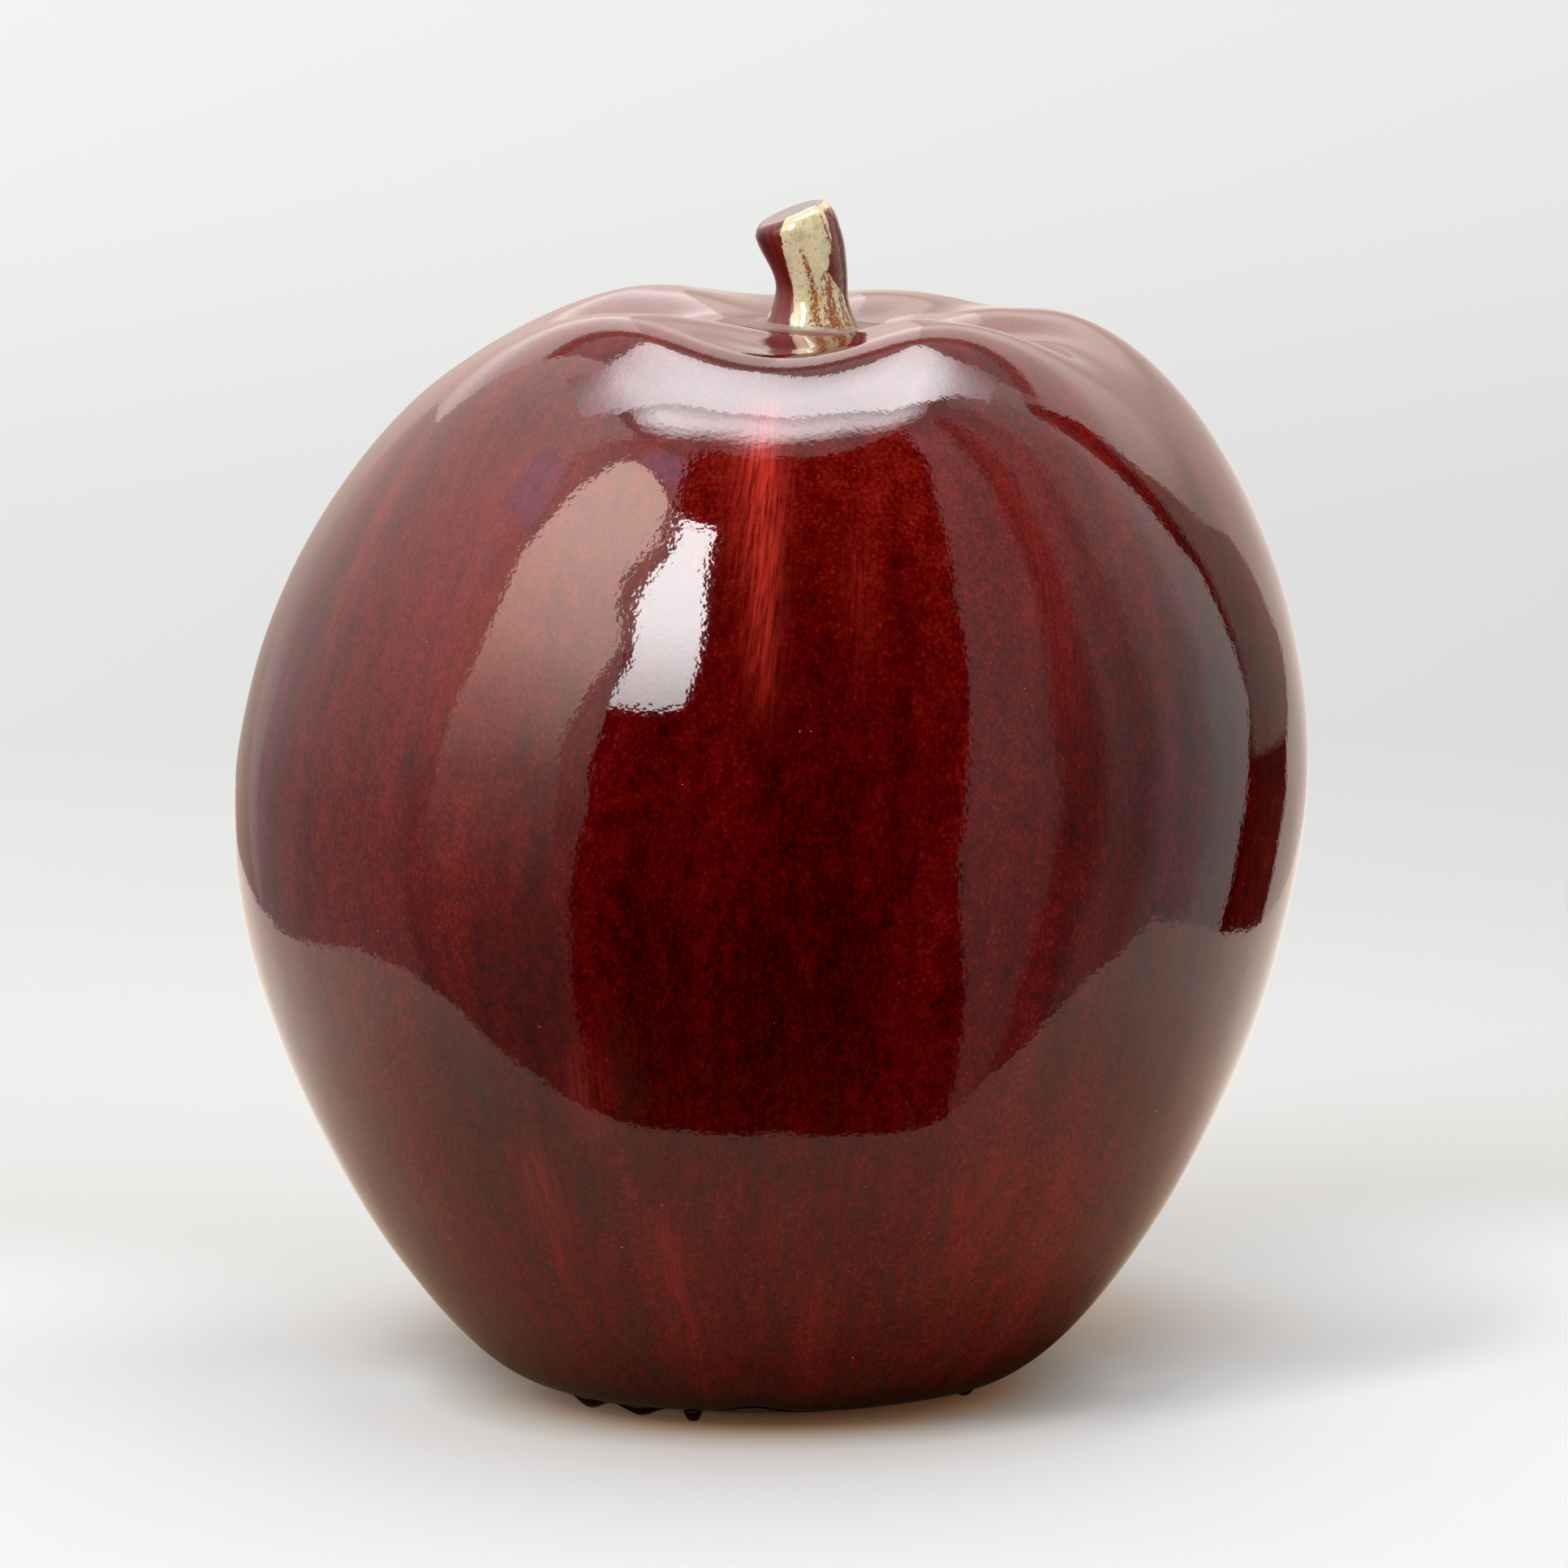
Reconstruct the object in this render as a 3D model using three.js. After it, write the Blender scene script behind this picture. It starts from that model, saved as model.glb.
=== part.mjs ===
// A stoneware apple, much larger than life: a hollow body made in two halves that join at the widest
// line, a turned foot ring, a hand-formed stem, and the coats, roll and pool of glaze that cover them.
// Millimetres, Z up. The foot stands on z = 0, and the apple's front faces -Y.
import * as THREE from "three";

const { clamp, degToRad, euclideanModulo, lerp, smoothstep } = THREE.MathUtils;

// Outline over the glaze: the flank from the glaze edge up to the widest line
const lipRadius = 78;
const lipHeight = 4.7;
const undersideReach = 30.5; // how far the underside runs out before it turns up
const undersideDip = 1.4;
const lowerBulge = 93.5; // how long the flank keeps its fullness below the widest line
const equatorRadius = 185;
const equatorHeight = 208;

// Outline over the glaze: the shoulder up to the crest, and the dimple round the stem
const upperBulge = 75;
const shoulderWidth = 49;
const crestRadius = 86;
const crestHeight = 372;
const crestWidth = 48;
const dimpleDepth = 4.5;
const dimpleFlatRadius = 32.5;

// Five soft lobes round the crown, as azimuth from +X and share of the full lift
const lobes = [
  [-136, 1.04],
  [-57, 1.34],
  [13, 1.18],
  [68, 1.1],
  [128, 0.99],
];
const lobeLift = 17.2;
const lobeSharpness = 6;
const lobeInnerRadius = 24;
const lobeOuterRadius = 74;
const lobeRise = 138; // the lobes grow to their full lift over this height below the crest

// The apple stands a little askew: its crown leans to the right and dips to the right and the front
const leanBelow = 59.5; // the lean starts this far below the widest line
const leanAbove = 20.5; // and would be whole this far above the crest
const leanRight = 15.5;
const leanBack = -0.4;
const dipRight = 0.07; // fall for each millimetre to the right
const dipFront = 0.065;
const dimpleOffset = 2; // the dimple lies this far right of the middle of the crown

// Walls and fits
const glazeThickness = 1.5;
const wallThickness = 12;
const clearance = 0.3;
const grooveDepth = 4; // the V that joins the two halves
const ventRadius = 12;

// Coil of clay pressed over the joint inside
const coilHalfHeight = 8;
const coilThickness = 5.5;

// Foot ring
const footSetback = 20; // in from the edge of the glaze
const footWidth = 13;
const footBevel = 1.5;

// Stem, over its glaze: a flared root, a waist, and a shaft that leans left to an oblique cut
const stemRootRadius = 17.7;
const stemWaistRadius = 12.4;
const stemWaistHeight = 14;
const stemTopRadius = 14.6;
const stemShaftHeight = 34.2;
const stemLean = 4.9;
const rimWidth = 4.7; // the rim rounds over from the shaft to the cut face
const rimHeight = 6.7;
const rimLean = 1.8;
const shaftTiltRight = 8.5; // degrees that the top of the shaft rises to the right
const shaftTiltBack = 4;
const faceTiltRight = 20.6;
const faceTiltBack = 10;
const flarePower = 1.6;
const leanPower = 1.5;
const stemGlazeThickness = 1;

// Tenon of the stem, and the clay clenched round its end inside the crown
const tenonRadius = 10;
const tenonEnd = 7; // how far the tenon stands out below the wall
const clenchRadius = 22;
const clenchThickness = 5;
const clenchTaper = 3;

// Pool of glaze round the root of the stem
const poolRadius = 34;
const poolEdgeThickness = 0.5;
const poolShoulderThickness = 0.8;
const poolShoulderShare = 0.65; // of the way in from its edge to the stem
const poolRiseHeight = 2;

// Rolled edge of the glaze above the foot, and its drips as azimuth, half width and length
const rollWidth = 5;
const rollDrop = 1;
const rollWave = 0.35;
const rollWaves = 7;
const drips = [
  [-141.5, 3.4, 2.6],
  [-123.5, 3.2, 2.2],
  [-109, 2.2, 2.9],
  [-25.5, 3, 2],
  [37, 2.6, 1.9],
  [84, 3.4, 2.4],
  [121, 2.4, 1.6],
  [163, 3, 2.3],
];
const dripTaper = 3; // how sharply a drip thins out towards its half width
const dripClear = 1.5; // half widths round a drip that its own points fill

// Faces
const turnSteps = 48;
const stemSteps = 26;
const flankSteps = 10;
const shoulderSteps = 9;
const dimpleSteps = 3;
const hollowSteps = 5;
const flareSteps = 3;
const shaftSteps = 4;
const rimSteps = 4;
const dripSteps = 4;
const rollSteps = 4; // up each side of the rolled edge
const lobeSamples = 360;
const halvings = 40;

const clayDepth = glazeThickness + clearance; // depths are measured in from the outside of the glaze
const hollowDepth = clayDepth + wallThickness;
const footOuterRadius = lipRadius - footSetback;
const footInnerRadius = footOuterRadius - footWidth;
const leanBottom = equatorHeight - leanBelow;
const leanTop = crestHeight + leanAbove;

const evenly = (from, to, steps) => Array.from({ length: steps + 1 }, (_, i) => lerp(from, to, i / steps));
const turn = (steps) => evenly(0, 2 * Math.PI, steps).slice(0, steps);
const turnAngles = turn(turnSteps);
const stemAngles = turn(stemSteps);

// The outline in three runs: share 0 to 1 is the flank, 1 to 2 the shoulder, 2 to 3 the dimple
const at = (radius, height) => new THREE.Vector2(radius, height);
const flank = new THREE.CubicBezierCurve(
  at(lipRadius, lipHeight),
  at(lipRadius + undersideReach, lipHeight - undersideDip),
  at(equatorRadius, equatorHeight - lowerBulge),
  at(equatorRadius, equatorHeight),
);
const shoulder = new THREE.CubicBezierCurve(
  at(equatorRadius, equatorHeight),
  at(equatorRadius, equatorHeight + upperBulge),
  at(crestRadius + shoulderWidth, crestHeight),
  at(crestRadius, crestHeight),
);
const dimple = new THREE.CubicBezierCurve(
  at(crestRadius, crestHeight),
  at(crestRadius - crestWidth, crestHeight),
  at(dimpleFlatRadius, crestHeight - dimpleDepth),
  at(0, crestHeight - dimpleDepth),
);
const runs = [flank, shoulder, dimple];

function outlineAt(share) {
  const run = Math.min(Math.floor(share), runs.length - 1);
  const point = runs[run].getPoint(share - run);
  const along = runs[run].getTangent(share - run);
  return { radius: point.x, height: point.y, outX: along.y, outZ: -along.x };
}

// The share between two ends at which a measure of the outline reaches a value
function shareWhere(measure, value, from, to) {
  const rising = measure(outlineAt(to)) > measure(outlineAt(from));
  let low = from;
  let high = to;
  for (let i = 0; i < halvings; i++) {
    const middle = (low + high) / 2;
    if (measure(outlineAt(middle)) < value === rising) low = middle;
    else high = middle;
  }
  return (low + high) / 2;
}
const shareAtHeight = (height, from, to) => shareWhere((p) => p.height, height, from, to);
const shareInDimple = (radius) => shareWhere((p) => p.radius, radius, 2, 3);

// Height of the lobes round the crown, about their own mean
const lobeSum = (angle) =>
  lobes.reduce((sum, [azimuth, share]) => {
    const away = Math.cos(angle - degToRad(azimuth)) - 1;
    return sum + share * Math.exp(lobeSharpness * away);
  }, 0);
const lobeMean = turn(lobeSamples).reduce((sum, angle) => sum + lobeSum(angle) / lobeSamples, 0);

// A point of the leaning, lobed body, at a depth in from the outside of the glaze
function bodyPoint(share, depth, angle, lift = 0) {
  const on = outlineAt(share);
  const radius = on.radius - depth * on.outX;
  const height = on.height - depth * on.outZ + lift;
  const lean = smoothstep(on.height, leanBottom, leanTop);
  const outward = smoothstep(on.radius, lobeInnerRadius, lobeOuterRadius);
  const upward = smoothstep(on.height, crestHeight - lobeRise, crestHeight);
  const lobe = outward * upward * (lobeSum(angle) - lobeMean);
  const inDimple = share > 1 ? 1 - outward : 0;
  const x = leanRight * lean + dimpleOffset * inDimple + radius * Math.cos(angle);
  const y = leanBack * lean + radius * Math.sin(angle);
  return new THREE.Vector3(x, y, height + lobeLift * lobe + lean * (dipFront * y - dipRight * x));
}

const bodyRing = (share, depth, angles = turnAngles, lift = 0) =>
  angles.map((angle) => bodyPoint(share, depth, angle, lift));
const bodyRings = (shares, depth) => shares.map((share) => bodyRing(share, depth));
const plainRing = (radius, height) =>
  turnAngles.map((a) => new THREE.Vector3(radius * Math.cos(a), radius * Math.sin(a), height));

// A closed surface from an outer and an inner list of rings, both from the bottom up. A ring is a
// loop of points or one point at a pole, and matching rings of neighbours get matching diagonals.
function wallOf(outer, inner) {
  const rings = [...outer, ...inner.slice().reverse()];
  const positions = rings.flat().flatMap((p) => [p.x, p.y, p.z]);
  const starts = [];
  let count = 0;
  for (const ring of rings) {
    starts.push(count);
    count += ring.length;
  }
  const faces = [];
  rings.forEach((ring, i) => {
    const k = (i + 1) % rings.length;
    const next = rings[k];
    const steps = Math.max(ring.length, next.length);
    const inside = i >= outer.length && k > i;
    for (let j = 0; j < steps && steps > 1; j++) {
      const n = (j + 1) % steps;
      const a = starts[i] + (ring.length > 1 ? j : 0);
      const b = starts[i] + (ring.length > 1 ? n : 0);
      const c = starts[k] + (next.length > 1 ? n : 0);
      const d = starts[k] + (next.length > 1 ? j : 0);
      if (a === b) faces.push(a, c, d);
      else if (c === d) faces.push(a, b, c);
      else if (inside) faces.push(a, b, d, b, c, d);
      else faces.push(a, b, c, a, c, d);
    }
  });
  const geometry = new THREE.BufferGeometry();
  geometry.setAttribute("position", new THREE.Float32BufferAttribute(positions, 3));
  geometry.setIndex(faces);
  geometry.computeVertexNormals();
  return geometry;
}

// Rows of points that the coats and the walls share, so that facing surfaces stay parallel
const glazeHole = stemRootRadius + clearance;
const socketRadius = tenonRadius + clearance;
const flankShares = evenly(0, 1, flankSteps);
const shoulderShares = evenly(1, 2, shoulderSteps);
const dimpleShares = [...evenly(crestRadius, poolRadius, dimpleSteps).slice(1), glazeHole].map(shareInDimple);
const socketShare = shareInDimple(socketRadius);
const clenchShare = shareInDimple(clenchRadius);
const coilBottomShare = shareAtHeight(equatorHeight - coilHalfHeight, 0, 1);
const coilTopShare = shareAtHeight(equatorHeight + coilHalfHeight, 1, 2);
const seamDepth = (clayDepth + hollowDepth) / 2;

function bodyGlaze() {
  const shares = [...flankShares, ...shoulderShares.slice(1), ...dimpleShares];
  return wallOf(bodyRings(shares, 0), bodyRings(shares, glazeThickness));
}

// Lower half: flank, flat floor with the vent hole, and the V groove along its rim
const undersideHeight = bodyPoint(0, clayDepth, 0).z;
const floorTop = undersideHeight + wallThickness;
function lowerShell() {
  const firstInside = shareWhere((p) => p.height - hollowDepth * p.outZ, floorTop, 0, 1);
  return wallOf(bodyRings(flankShares, clayDepth), [
    plainRing(ventRadius, undersideHeight),
    plainRing(ventRadius, floorTop),
    ...bodyRings([...evenly(firstInside, coilBottomShare, hollowSteps), 1], hollowDepth),
    bodyRing(1, seamDepth, turnAngles, -grooveDepth),
  ]);
}

// Upper half: the tongue that sits in the groove, shoulder, crown and the socket of the stem
function upperShell() {
  const outer = [...shoulderShares.slice(1), ...dimpleShares, socketShare];
  const inner = [...evenly(coilTopShare, 2, hollowSteps), ...dimpleShares.slice(0, -2)];
  return wallOf(
    [bodyRing(1, clayDepth, turnAngles, clearance), ...bodyRings(outer, clayDepth)],
    [
      bodyRing(1, seamDepth, turnAngles, clearance - grooveDepth),
      bodyRing(1, hollowDepth, turnAngles, clearance),
      ...bodyRings([...inner, clenchShare, socketShare], hollowDepth),
    ],
  );
}

function seamCoil() {
  const outside = hollowDepth + clearance;
  const quarter = coilHalfHeight / 2;
  const crest = [shareAtHeight(equatorHeight - quarter, 0, 1), shareAtHeight(equatorHeight + quarter, 1, 2)];
  return wallOf(
    bodyRings([coilBottomShare, 1, coilTopShare], outside),
    bodyRings(crest, outside + coilThickness),
  );
}

function footRing() {
  const top = undersideHeight - clearance;
  return wallOf(
    [
      plainRing(footOuterRadius - footBevel, 0),
      plainRing(footOuterRadius, footBevel),
      plainRing(footOuterRadius, top),
    ],
    [
      plainRing(footInnerRadius + footBevel, 0),
      plainRing(footInnerRadius, footBevel),
      plainRing(footInnerRadius, top),
    ],
  );
}

// The stem stands on the middle of the dimple, square to the dip of the crown
const stemRoot = bodyPoint(3, 0, 0);
const rootLean = smoothstep(crestHeight - dimpleDepth, leanBottom, leanTop);
const rootTiltRight = -Math.atan(dipRight * rootLean);
const rootTiltBack = Math.atan(dipFront * rootLean);

// A ring that is tilted to the right and to the back, with its middle off the root of the stem
function tiltedRing({ lean, height, radius, tiltRight, tiltBack }) {
  const right = new THREE.Vector3(Math.cos(tiltRight), 0, Math.sin(tiltRight));
  const back = new THREE.Vector3(0, Math.cos(tiltBack), Math.sin(tiltBack));
  const up = new THREE.Vector3().crossVectors(right, back).normalize();
  const middle = stemRoot.clone().add(new THREE.Vector3(-lean, 0, height));
  const point = (angle) =>
    middle
      .clone()
      .addScaledVector(right, radius * Math.cos(angle))
      .addScaledVector(back, radius * Math.sin(angle));
  return { middle, up, point };
}

const stemRadiusAt = (height) => {
  const flare = (1 - clamp(height / stemWaistHeight, 0, 1)) ** flarePower;
  const swell = smoothstep(height, stemWaistHeight, stemShaftHeight);
  const rootGain = (stemRootRadius - stemWaistRadius) * flare;
  return stemWaistRadius + rootGain + (stemTopRadius - stemWaistRadius) * swell;
};

function shaftRing(height, inset) {
  const above = clamp((height - stemWaistHeight) / (stemShaftHeight - stemWaistHeight), 0, 1);
  const bend = smoothstep(above, 0, 1);
  return tiltedRing({
    lean: stemLean * above ** leanPower,
    height,
    radius: stemRadiusAt(height) - inset,
    tiltRight: lerp(rootTiltRight, degToRad(shaftTiltRight), bend),
    tiltBack: lerp(rootTiltBack, degToRad(shaftTiltBack), bend),
  });
}

// The cut face is flat, and the rim rounds over from the shaft to it
function faceRing(inset) {
  const face = tiltedRing({
    lean: stemLean + rimLean,
    height: stemShaftHeight + rimHeight,
    radius: stemTopRadius - rimWidth,
    tiltRight: degToRad(faceTiltRight),
    tiltBack: degToRad(faceTiltBack),
  });
  const drop = face.up.clone().multiplyScalar(-inset);
  return { middle: face.middle.clone().add(drop), point: (angle) => face.point(angle).add(drop) };
}

function rimPoint(round, angle, inset) {
  const shaft = shaftRing(stemShaftHeight, inset);
  const from = shaft.point(angle);
  const span = faceRing(inset).point(angle).sub(from);
  const rise = shaft.up.clone().multiplyScalar(span.dot(shaft.up));
  const inward = span.sub(rise);
  return from.addScaledVector(rise, Math.sin(round)).addScaledVector(inward, 1 - Math.cos(round));
}

// Rings of the stem from the pool up to the pole in its cut face
function stemRings(inset) {
  const flare = evenly(poolRiseHeight, stemWaistHeight, flareSteps);
  const heights = [0, ...flare, ...evenly(stemWaistHeight, stemShaftHeight, shaftSteps).slice(1)];
  const rounds = evenly(0, Math.PI / 2, rimSteps).slice(1);
  return [
    ...heights.map((height) => stemAngles.map(shaftRing(height, inset).point)),
    ...rounds.map((round) => stemAngles.map((angle) => rimPoint(round, angle, inset))),
    [faceRing(inset).middle],
  ];
}

const rootDepth = clayDepth - clearance; // the stem is seated on the clay, through the coat
const rootRing = (radius) => bodyRing(shareInDimple(radius), rootDepth, stemAngles);

function stemGlaze() {
  return wallOf(
    [rootRing(stemRootRadius), ...stemRings(0)],
    [rootRing(stemRootRadius - stemGlazeThickness), ...stemRings(stemGlazeThickness)],
  );
}

function stemCore() {
  const inset = stemGlazeThickness + clearance;
  const tenonShare = shareInDimple(tenonRadius);
  const tenonDepth = hollowDepth + tenonEnd;
  return wallOf(
    [
      [bodyPoint(3, tenonDepth, 0)],
      bodyRing(tenonShare, tenonDepth, stemAngles),
      bodyRing(tenonShare, rootDepth, stemAngles),
      rootRing(stemRootRadius - inset),
      ...stemRings(inset),
    ],
    [],
  );
}

function stemClench() {
  const top = hollowDepth + clearance;
  return wallOf(bodyRings([clenchShare, socketShare], top), [
    bodyRing(shareInDimple(clenchRadius - clenchTaper), top + clenchThickness),
    bodyRing(socketShare, top + clenchThickness),
  ]);
}

function crownPool() {
  const foot = -clearance;
  const neck = shaftRing(poolRiseHeight, -clearance);
  const shoulderRadius = lerp(poolRadius, stemRootRadius, poolShoulderShare);
  return wallOf(
    [
      bodyRing(shareInDimple(poolRadius), foot - poolEdgeThickness),
      bodyRing(shareInDimple(shoulderRadius), foot - poolShoulderThickness),
      turnAngles.map(neck.point),
    ],
    [bodyRing(shareInDimple(poolRadius), foot), bodyRing(shareInDimple(glazeHole), foot)],
  );
}

// Azimuths of the points along the rolled edge: some across each drip, and an even row between them
function rollAngles() {
  const across = evenly(-1, 1, dripSteps);
  const onDrips = drips.flatMap(([azimuth, half]) => across.map((k) => azimuth + k * half));
  const apart = (angle) =>
    drips.every(([azimuth, half]) => {
      const gap = Math.abs(euclideanModulo(angle - azimuth + 180, 360) - 180);
      return gap > dripClear * half;
    });
  const between = evenly(-180, 180, turnSteps).slice(1).filter(apart);
  return [...onDrips, ...between].sort((a, b) => a - b).map(degToRad);
}

// The rolled edge hangs just inside the edge of the coat, and swells into drips
function glazeRoll() {
  const angles = rollAngles();
  const outerRadius = lipRadius - clearance;
  const top = undersideHeight - clearance;
  const bottomAt = (angle) => {
    const wave = rollWave * Math.sin(rollWaves * angle);
    const drip = drips.map(([azimuth, half, length]) => {
      const away = Math.cos(angle - degToRad(azimuth)) - 1;
      return length * Math.exp((2 * dripTaper * away) / degToRad(half) ** 2);
    });
    return lipHeight - rollDrop - wave - Math.max(...drip);
  };
  const ring = (around) =>
    angles.map((angle) => {
      const half = (top - bottomAt(angle)) / 2;
      const radius = outerRadius - (rollWidth / 2) * (1 - Math.cos(around));
      return new THREE.Vector3(
        radius * Math.cos(angle),
        radius * Math.sin(angle),
        top - half + half * Math.sin(around),
      );
    });
  const rings = (from, to) => evenly(from * Math.PI, to * Math.PI, rollSteps).map(ring);
  return wallOf(rings(-0.5, 0.5), rings(-0.5, -1.5).slice(1, -1));
}

// Materials: bare stoneware, and glazes that lie glossy over it
const stoneware = { color: "#a98d72", roughness: 0.85, metalness: 0 };
const oxblood = { color: "#4f0b0b", roughness: 0.12, metalness: 0 };
const thickOxblood = { color: "#2c0606", roughness: 0.12, metalness: 0 };
const celadon = { color: "#c4a873", roughness: 0.18, metalness: 0 };

const pieces = [
  ["lower_shell", lowerShell(), stoneware],
  ["upper_shell", upperShell(), stoneware],
  ["seam_coil", seamCoil(), stoneware],
  ["foot_ring", footRing(), stoneware],
  ["stem_core", stemCore(), stoneware],
  ["stem_clench", stemClench(), stoneware],
  ["body_glaze", bodyGlaze(), oxblood],
  ["glaze_roll", glazeRoll(), thickOxblood],
  ["crown_pool", crownPool(), thickOxblood],
  ["stem_glaze", stemGlaze(), celadon],
];

const apple = new THREE.Group();
for (const [name, geometry, finish] of pieces) {
  const mesh = new THREE.Mesh(geometry, new THREE.MeshStandardMaterial(finish));
  mesh.name = name;
  apple.add(mesh);
}

export default apple;
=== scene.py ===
import math
from functools import partial

import bpy
import numpy as np
from mathutils import Matrix, Vector


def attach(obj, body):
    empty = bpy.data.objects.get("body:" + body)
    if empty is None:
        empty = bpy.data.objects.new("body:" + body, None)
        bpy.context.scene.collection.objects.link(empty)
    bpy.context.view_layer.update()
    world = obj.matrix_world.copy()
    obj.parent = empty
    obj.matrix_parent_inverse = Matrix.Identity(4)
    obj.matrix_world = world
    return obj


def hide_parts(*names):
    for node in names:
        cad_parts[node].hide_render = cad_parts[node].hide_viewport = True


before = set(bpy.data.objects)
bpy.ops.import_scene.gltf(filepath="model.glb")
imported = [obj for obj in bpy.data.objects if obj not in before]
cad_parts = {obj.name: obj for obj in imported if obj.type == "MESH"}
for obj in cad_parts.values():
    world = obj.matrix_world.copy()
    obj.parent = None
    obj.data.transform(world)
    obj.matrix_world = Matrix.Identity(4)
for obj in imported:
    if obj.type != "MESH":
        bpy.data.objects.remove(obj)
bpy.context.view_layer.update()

millimetre = 0.001
sharpEdge = 40  # degrees from which an edge shows as an edge

# Outline of the apple over its glaze, in millimetres, as the solids have it
bodyForm = {
    "lipRadius": 78, "lipHeight": 4.7, "undersideReach": 30.5, "undersideDip": 1.4, "lowerBulge": 93.5,
    "equatorRadius": 185, "equatorHeight": 208, "upperBulge": 75, "shoulderWidth": 49,
    "crestRadius": 86, "crestHeight": 372, "crestWidth": 48, "dimpleDepth": 4.5, "dimpleFlatRadius": 32.5,
    "leanBottom": 148.5, "leanTop": 392.5, "leanRight": 15.5, "leanBack": -0.4,
    "dipRight": 0.07, "dipFront": 0.065, "dimpleOffset": 2,
}
crownLobes = {
    # azimuth and share of the lift
    "places": [(-136, 1.04), (-57, 1.34), (13, 1.18), (68, 1.1), (128, 0.99)],
    "lift": 17.2, "sharpness": 6, "innerRadius": 24, "outerRadius": 74, "rise": 138,
}
coats = {"glaze": 1.5, "stemGlaze": 1, "gap": 0.3}


def smoothstep(value, start, end):  # from 0 to 1, also where the end is lower than the start
    share = np.clip((value - start) / (end - start), 0, 1)
    return share * share * (3 - 2 * share)


def degreesAway(angle, azimuth):
    return (angle - azimuth + 180) % 360 - 180


# 1 at an azimuth, and softly less to both sides of it
def bell(angle, azimuth, half):
    return np.exp(-(degreesAway(angle, azimuth) / half) ** 2)


def alongTable(value, table):
    return np.interp(value, *np.array(table, float).T)


def turn(count):
    return np.linspace(0, 2 * np.pi, count, endpoint=False)


def roundPoints(radius, angle, height):
    return np.stack(np.broadcast_arrays(radius * np.cos(angle), radius * np.sin(angle), height), -1)


# How far along a line of places each one lies
def wayAlong(places):
    return np.concatenate([[0], np.cumsum(np.linalg.norm(np.diff(places, axis=0), axis=1))])


def bezier(points, along):
    a, b, c, d = (np.array(p, float) for p in points)
    t = np.asarray(along, float)[..., None]
    place = (1 - t) ** 3 * a + 3 * (1 - t) ** 2 * t * b + 3 * (1 - t) * t * t * c + t ** 3 * d
    slope = (1 - t) ** 2 * (b - a) + 2 * (1 - t) * t * (c - b) + t * t * (d - c)
    return place, slope / np.linalg.norm(slope, axis=-1, keepdims=True)


def outlineRuns(f):
    lip = (f["lipRadius"], f["lipHeight"])
    waist = (f["equatorRadius"], f["equatorHeight"])
    crest = (f["crestRadius"], f["crestHeight"])
    dimpleHeight = f["crestHeight"] - f["dimpleDepth"]
    return [
        [lip, (lip[0] + f["undersideReach"], lip[1] - f["undersideDip"]),
         (waist[0], waist[1] - f["lowerBulge"]), waist],
        [waist, (waist[0], waist[1] + f["upperBulge"]), (crest[0] + f["shoulderWidth"], crest[1]), crest],
        [crest, (crest[0] - f["crestWidth"], crest[1]), (f["dimpleFlatRadius"], dimpleHeight),
         (0, dimpleHeight)],
    ]


runs = outlineRuns(bodyForm)


def outlineAt(share):  # 0 to 1 is the flank, 1 to 2 the shoulder, 2 to 3 the dimple
    share = np.asarray(share, float)
    place = np.zeros(share.shape + (2,))
    along = np.zeros(share.shape + (2,))
    for number, run in enumerate(runs):
        inRun = np.minimum(np.floor(share), len(runs) - 1) == number
        place[inRun], along[inRun] = bezier(run, share[inRun] - number)
    return place, along


def lobeSum(angle):
    away = [(share, np.cos(angle - math.radians(azimuth)) - 1) for azimuth, share in crownLobes["places"]]
    return sum(share * np.exp(crownLobes["sharpness"] * distance) for share, distance in away)


lobeMean = lobeSum(turn(360)).mean()


# Points of the leaning, lobed body, at a depth in millimetres in from the outside of the glaze
def bodyPoints(share, angle, depth=0.0):
    f = bodyForm
    share, angle, depth = np.broadcast_arrays(np.asarray(share, float), angle, depth)
    place, along = outlineAt(share)
    radius = place[..., 0] - depth * along[..., 1]
    height = place[..., 1] + depth * along[..., 0]
    lean = smoothstep(place[..., 1], f["leanBottom"], f["leanTop"])
    outward = smoothstep(place[..., 0], crownLobes["innerRadius"], crownLobes["outerRadius"])
    upward = smoothstep(place[..., 1], f["crestHeight"] - crownLobes["rise"], f["crestHeight"])
    lobe = outward * upward * (lobeSum(angle) - lobeMean)
    inDimple = np.where(share > 1, 1 - outward, 0)
    x = f["leanRight"] * lean + f["dimpleOffset"] * inDimple + radius * np.cos(angle)
    y = f["leanBack"] * lean + radius * np.sin(angle)
    z = height + crownLobes["lift"] * lobe + lean * (f["dipFront"] * y - f["dipRight"] * x)
    return np.stack([x, y, z], -1)


dimpleShares = np.linspace(2, 3, 2001)
dimpleRadii = outlineAt(dimpleShares)[0][:, 0]


def shareInDimple(radius):
    return np.interp(radius, dimpleRadii[::-1], dimpleShares[::-1])


# Shares between two ends, spaced evenly along the outline
def evenShares(first, last, count):
    fine = np.linspace(first, last, 4001)
    length = wayAlong(outlineAt(fine)[0])
    return np.interp(np.linspace(0, length[-1], count), length, fine)


# Low waves that hands and the kiln leave in a surface, as millimetres at each point
def handWaves(points, height, shortest, longest, seed):
    random = np.random.default_rng(seed)
    total = np.zeros(points.shape[:-1])
    waveCount = 36
    for _ in range(waveCount):
        way = random.normal(size=3)
        way /= np.linalg.norm(way)
        length = random.uniform(shortest, longest)
        start = random.uniform(0, 2 * np.pi)
        total += np.sin(points @ way * (2 * np.pi / length) + start) * length / longest
    return total * height * math.sqrt(2 / waveCount)


def placeObject(name, data):
    thing = bpy.data.objects.new(name, data)
    bpy.context.scene.collection.objects.link(thing)
    return thing


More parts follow.
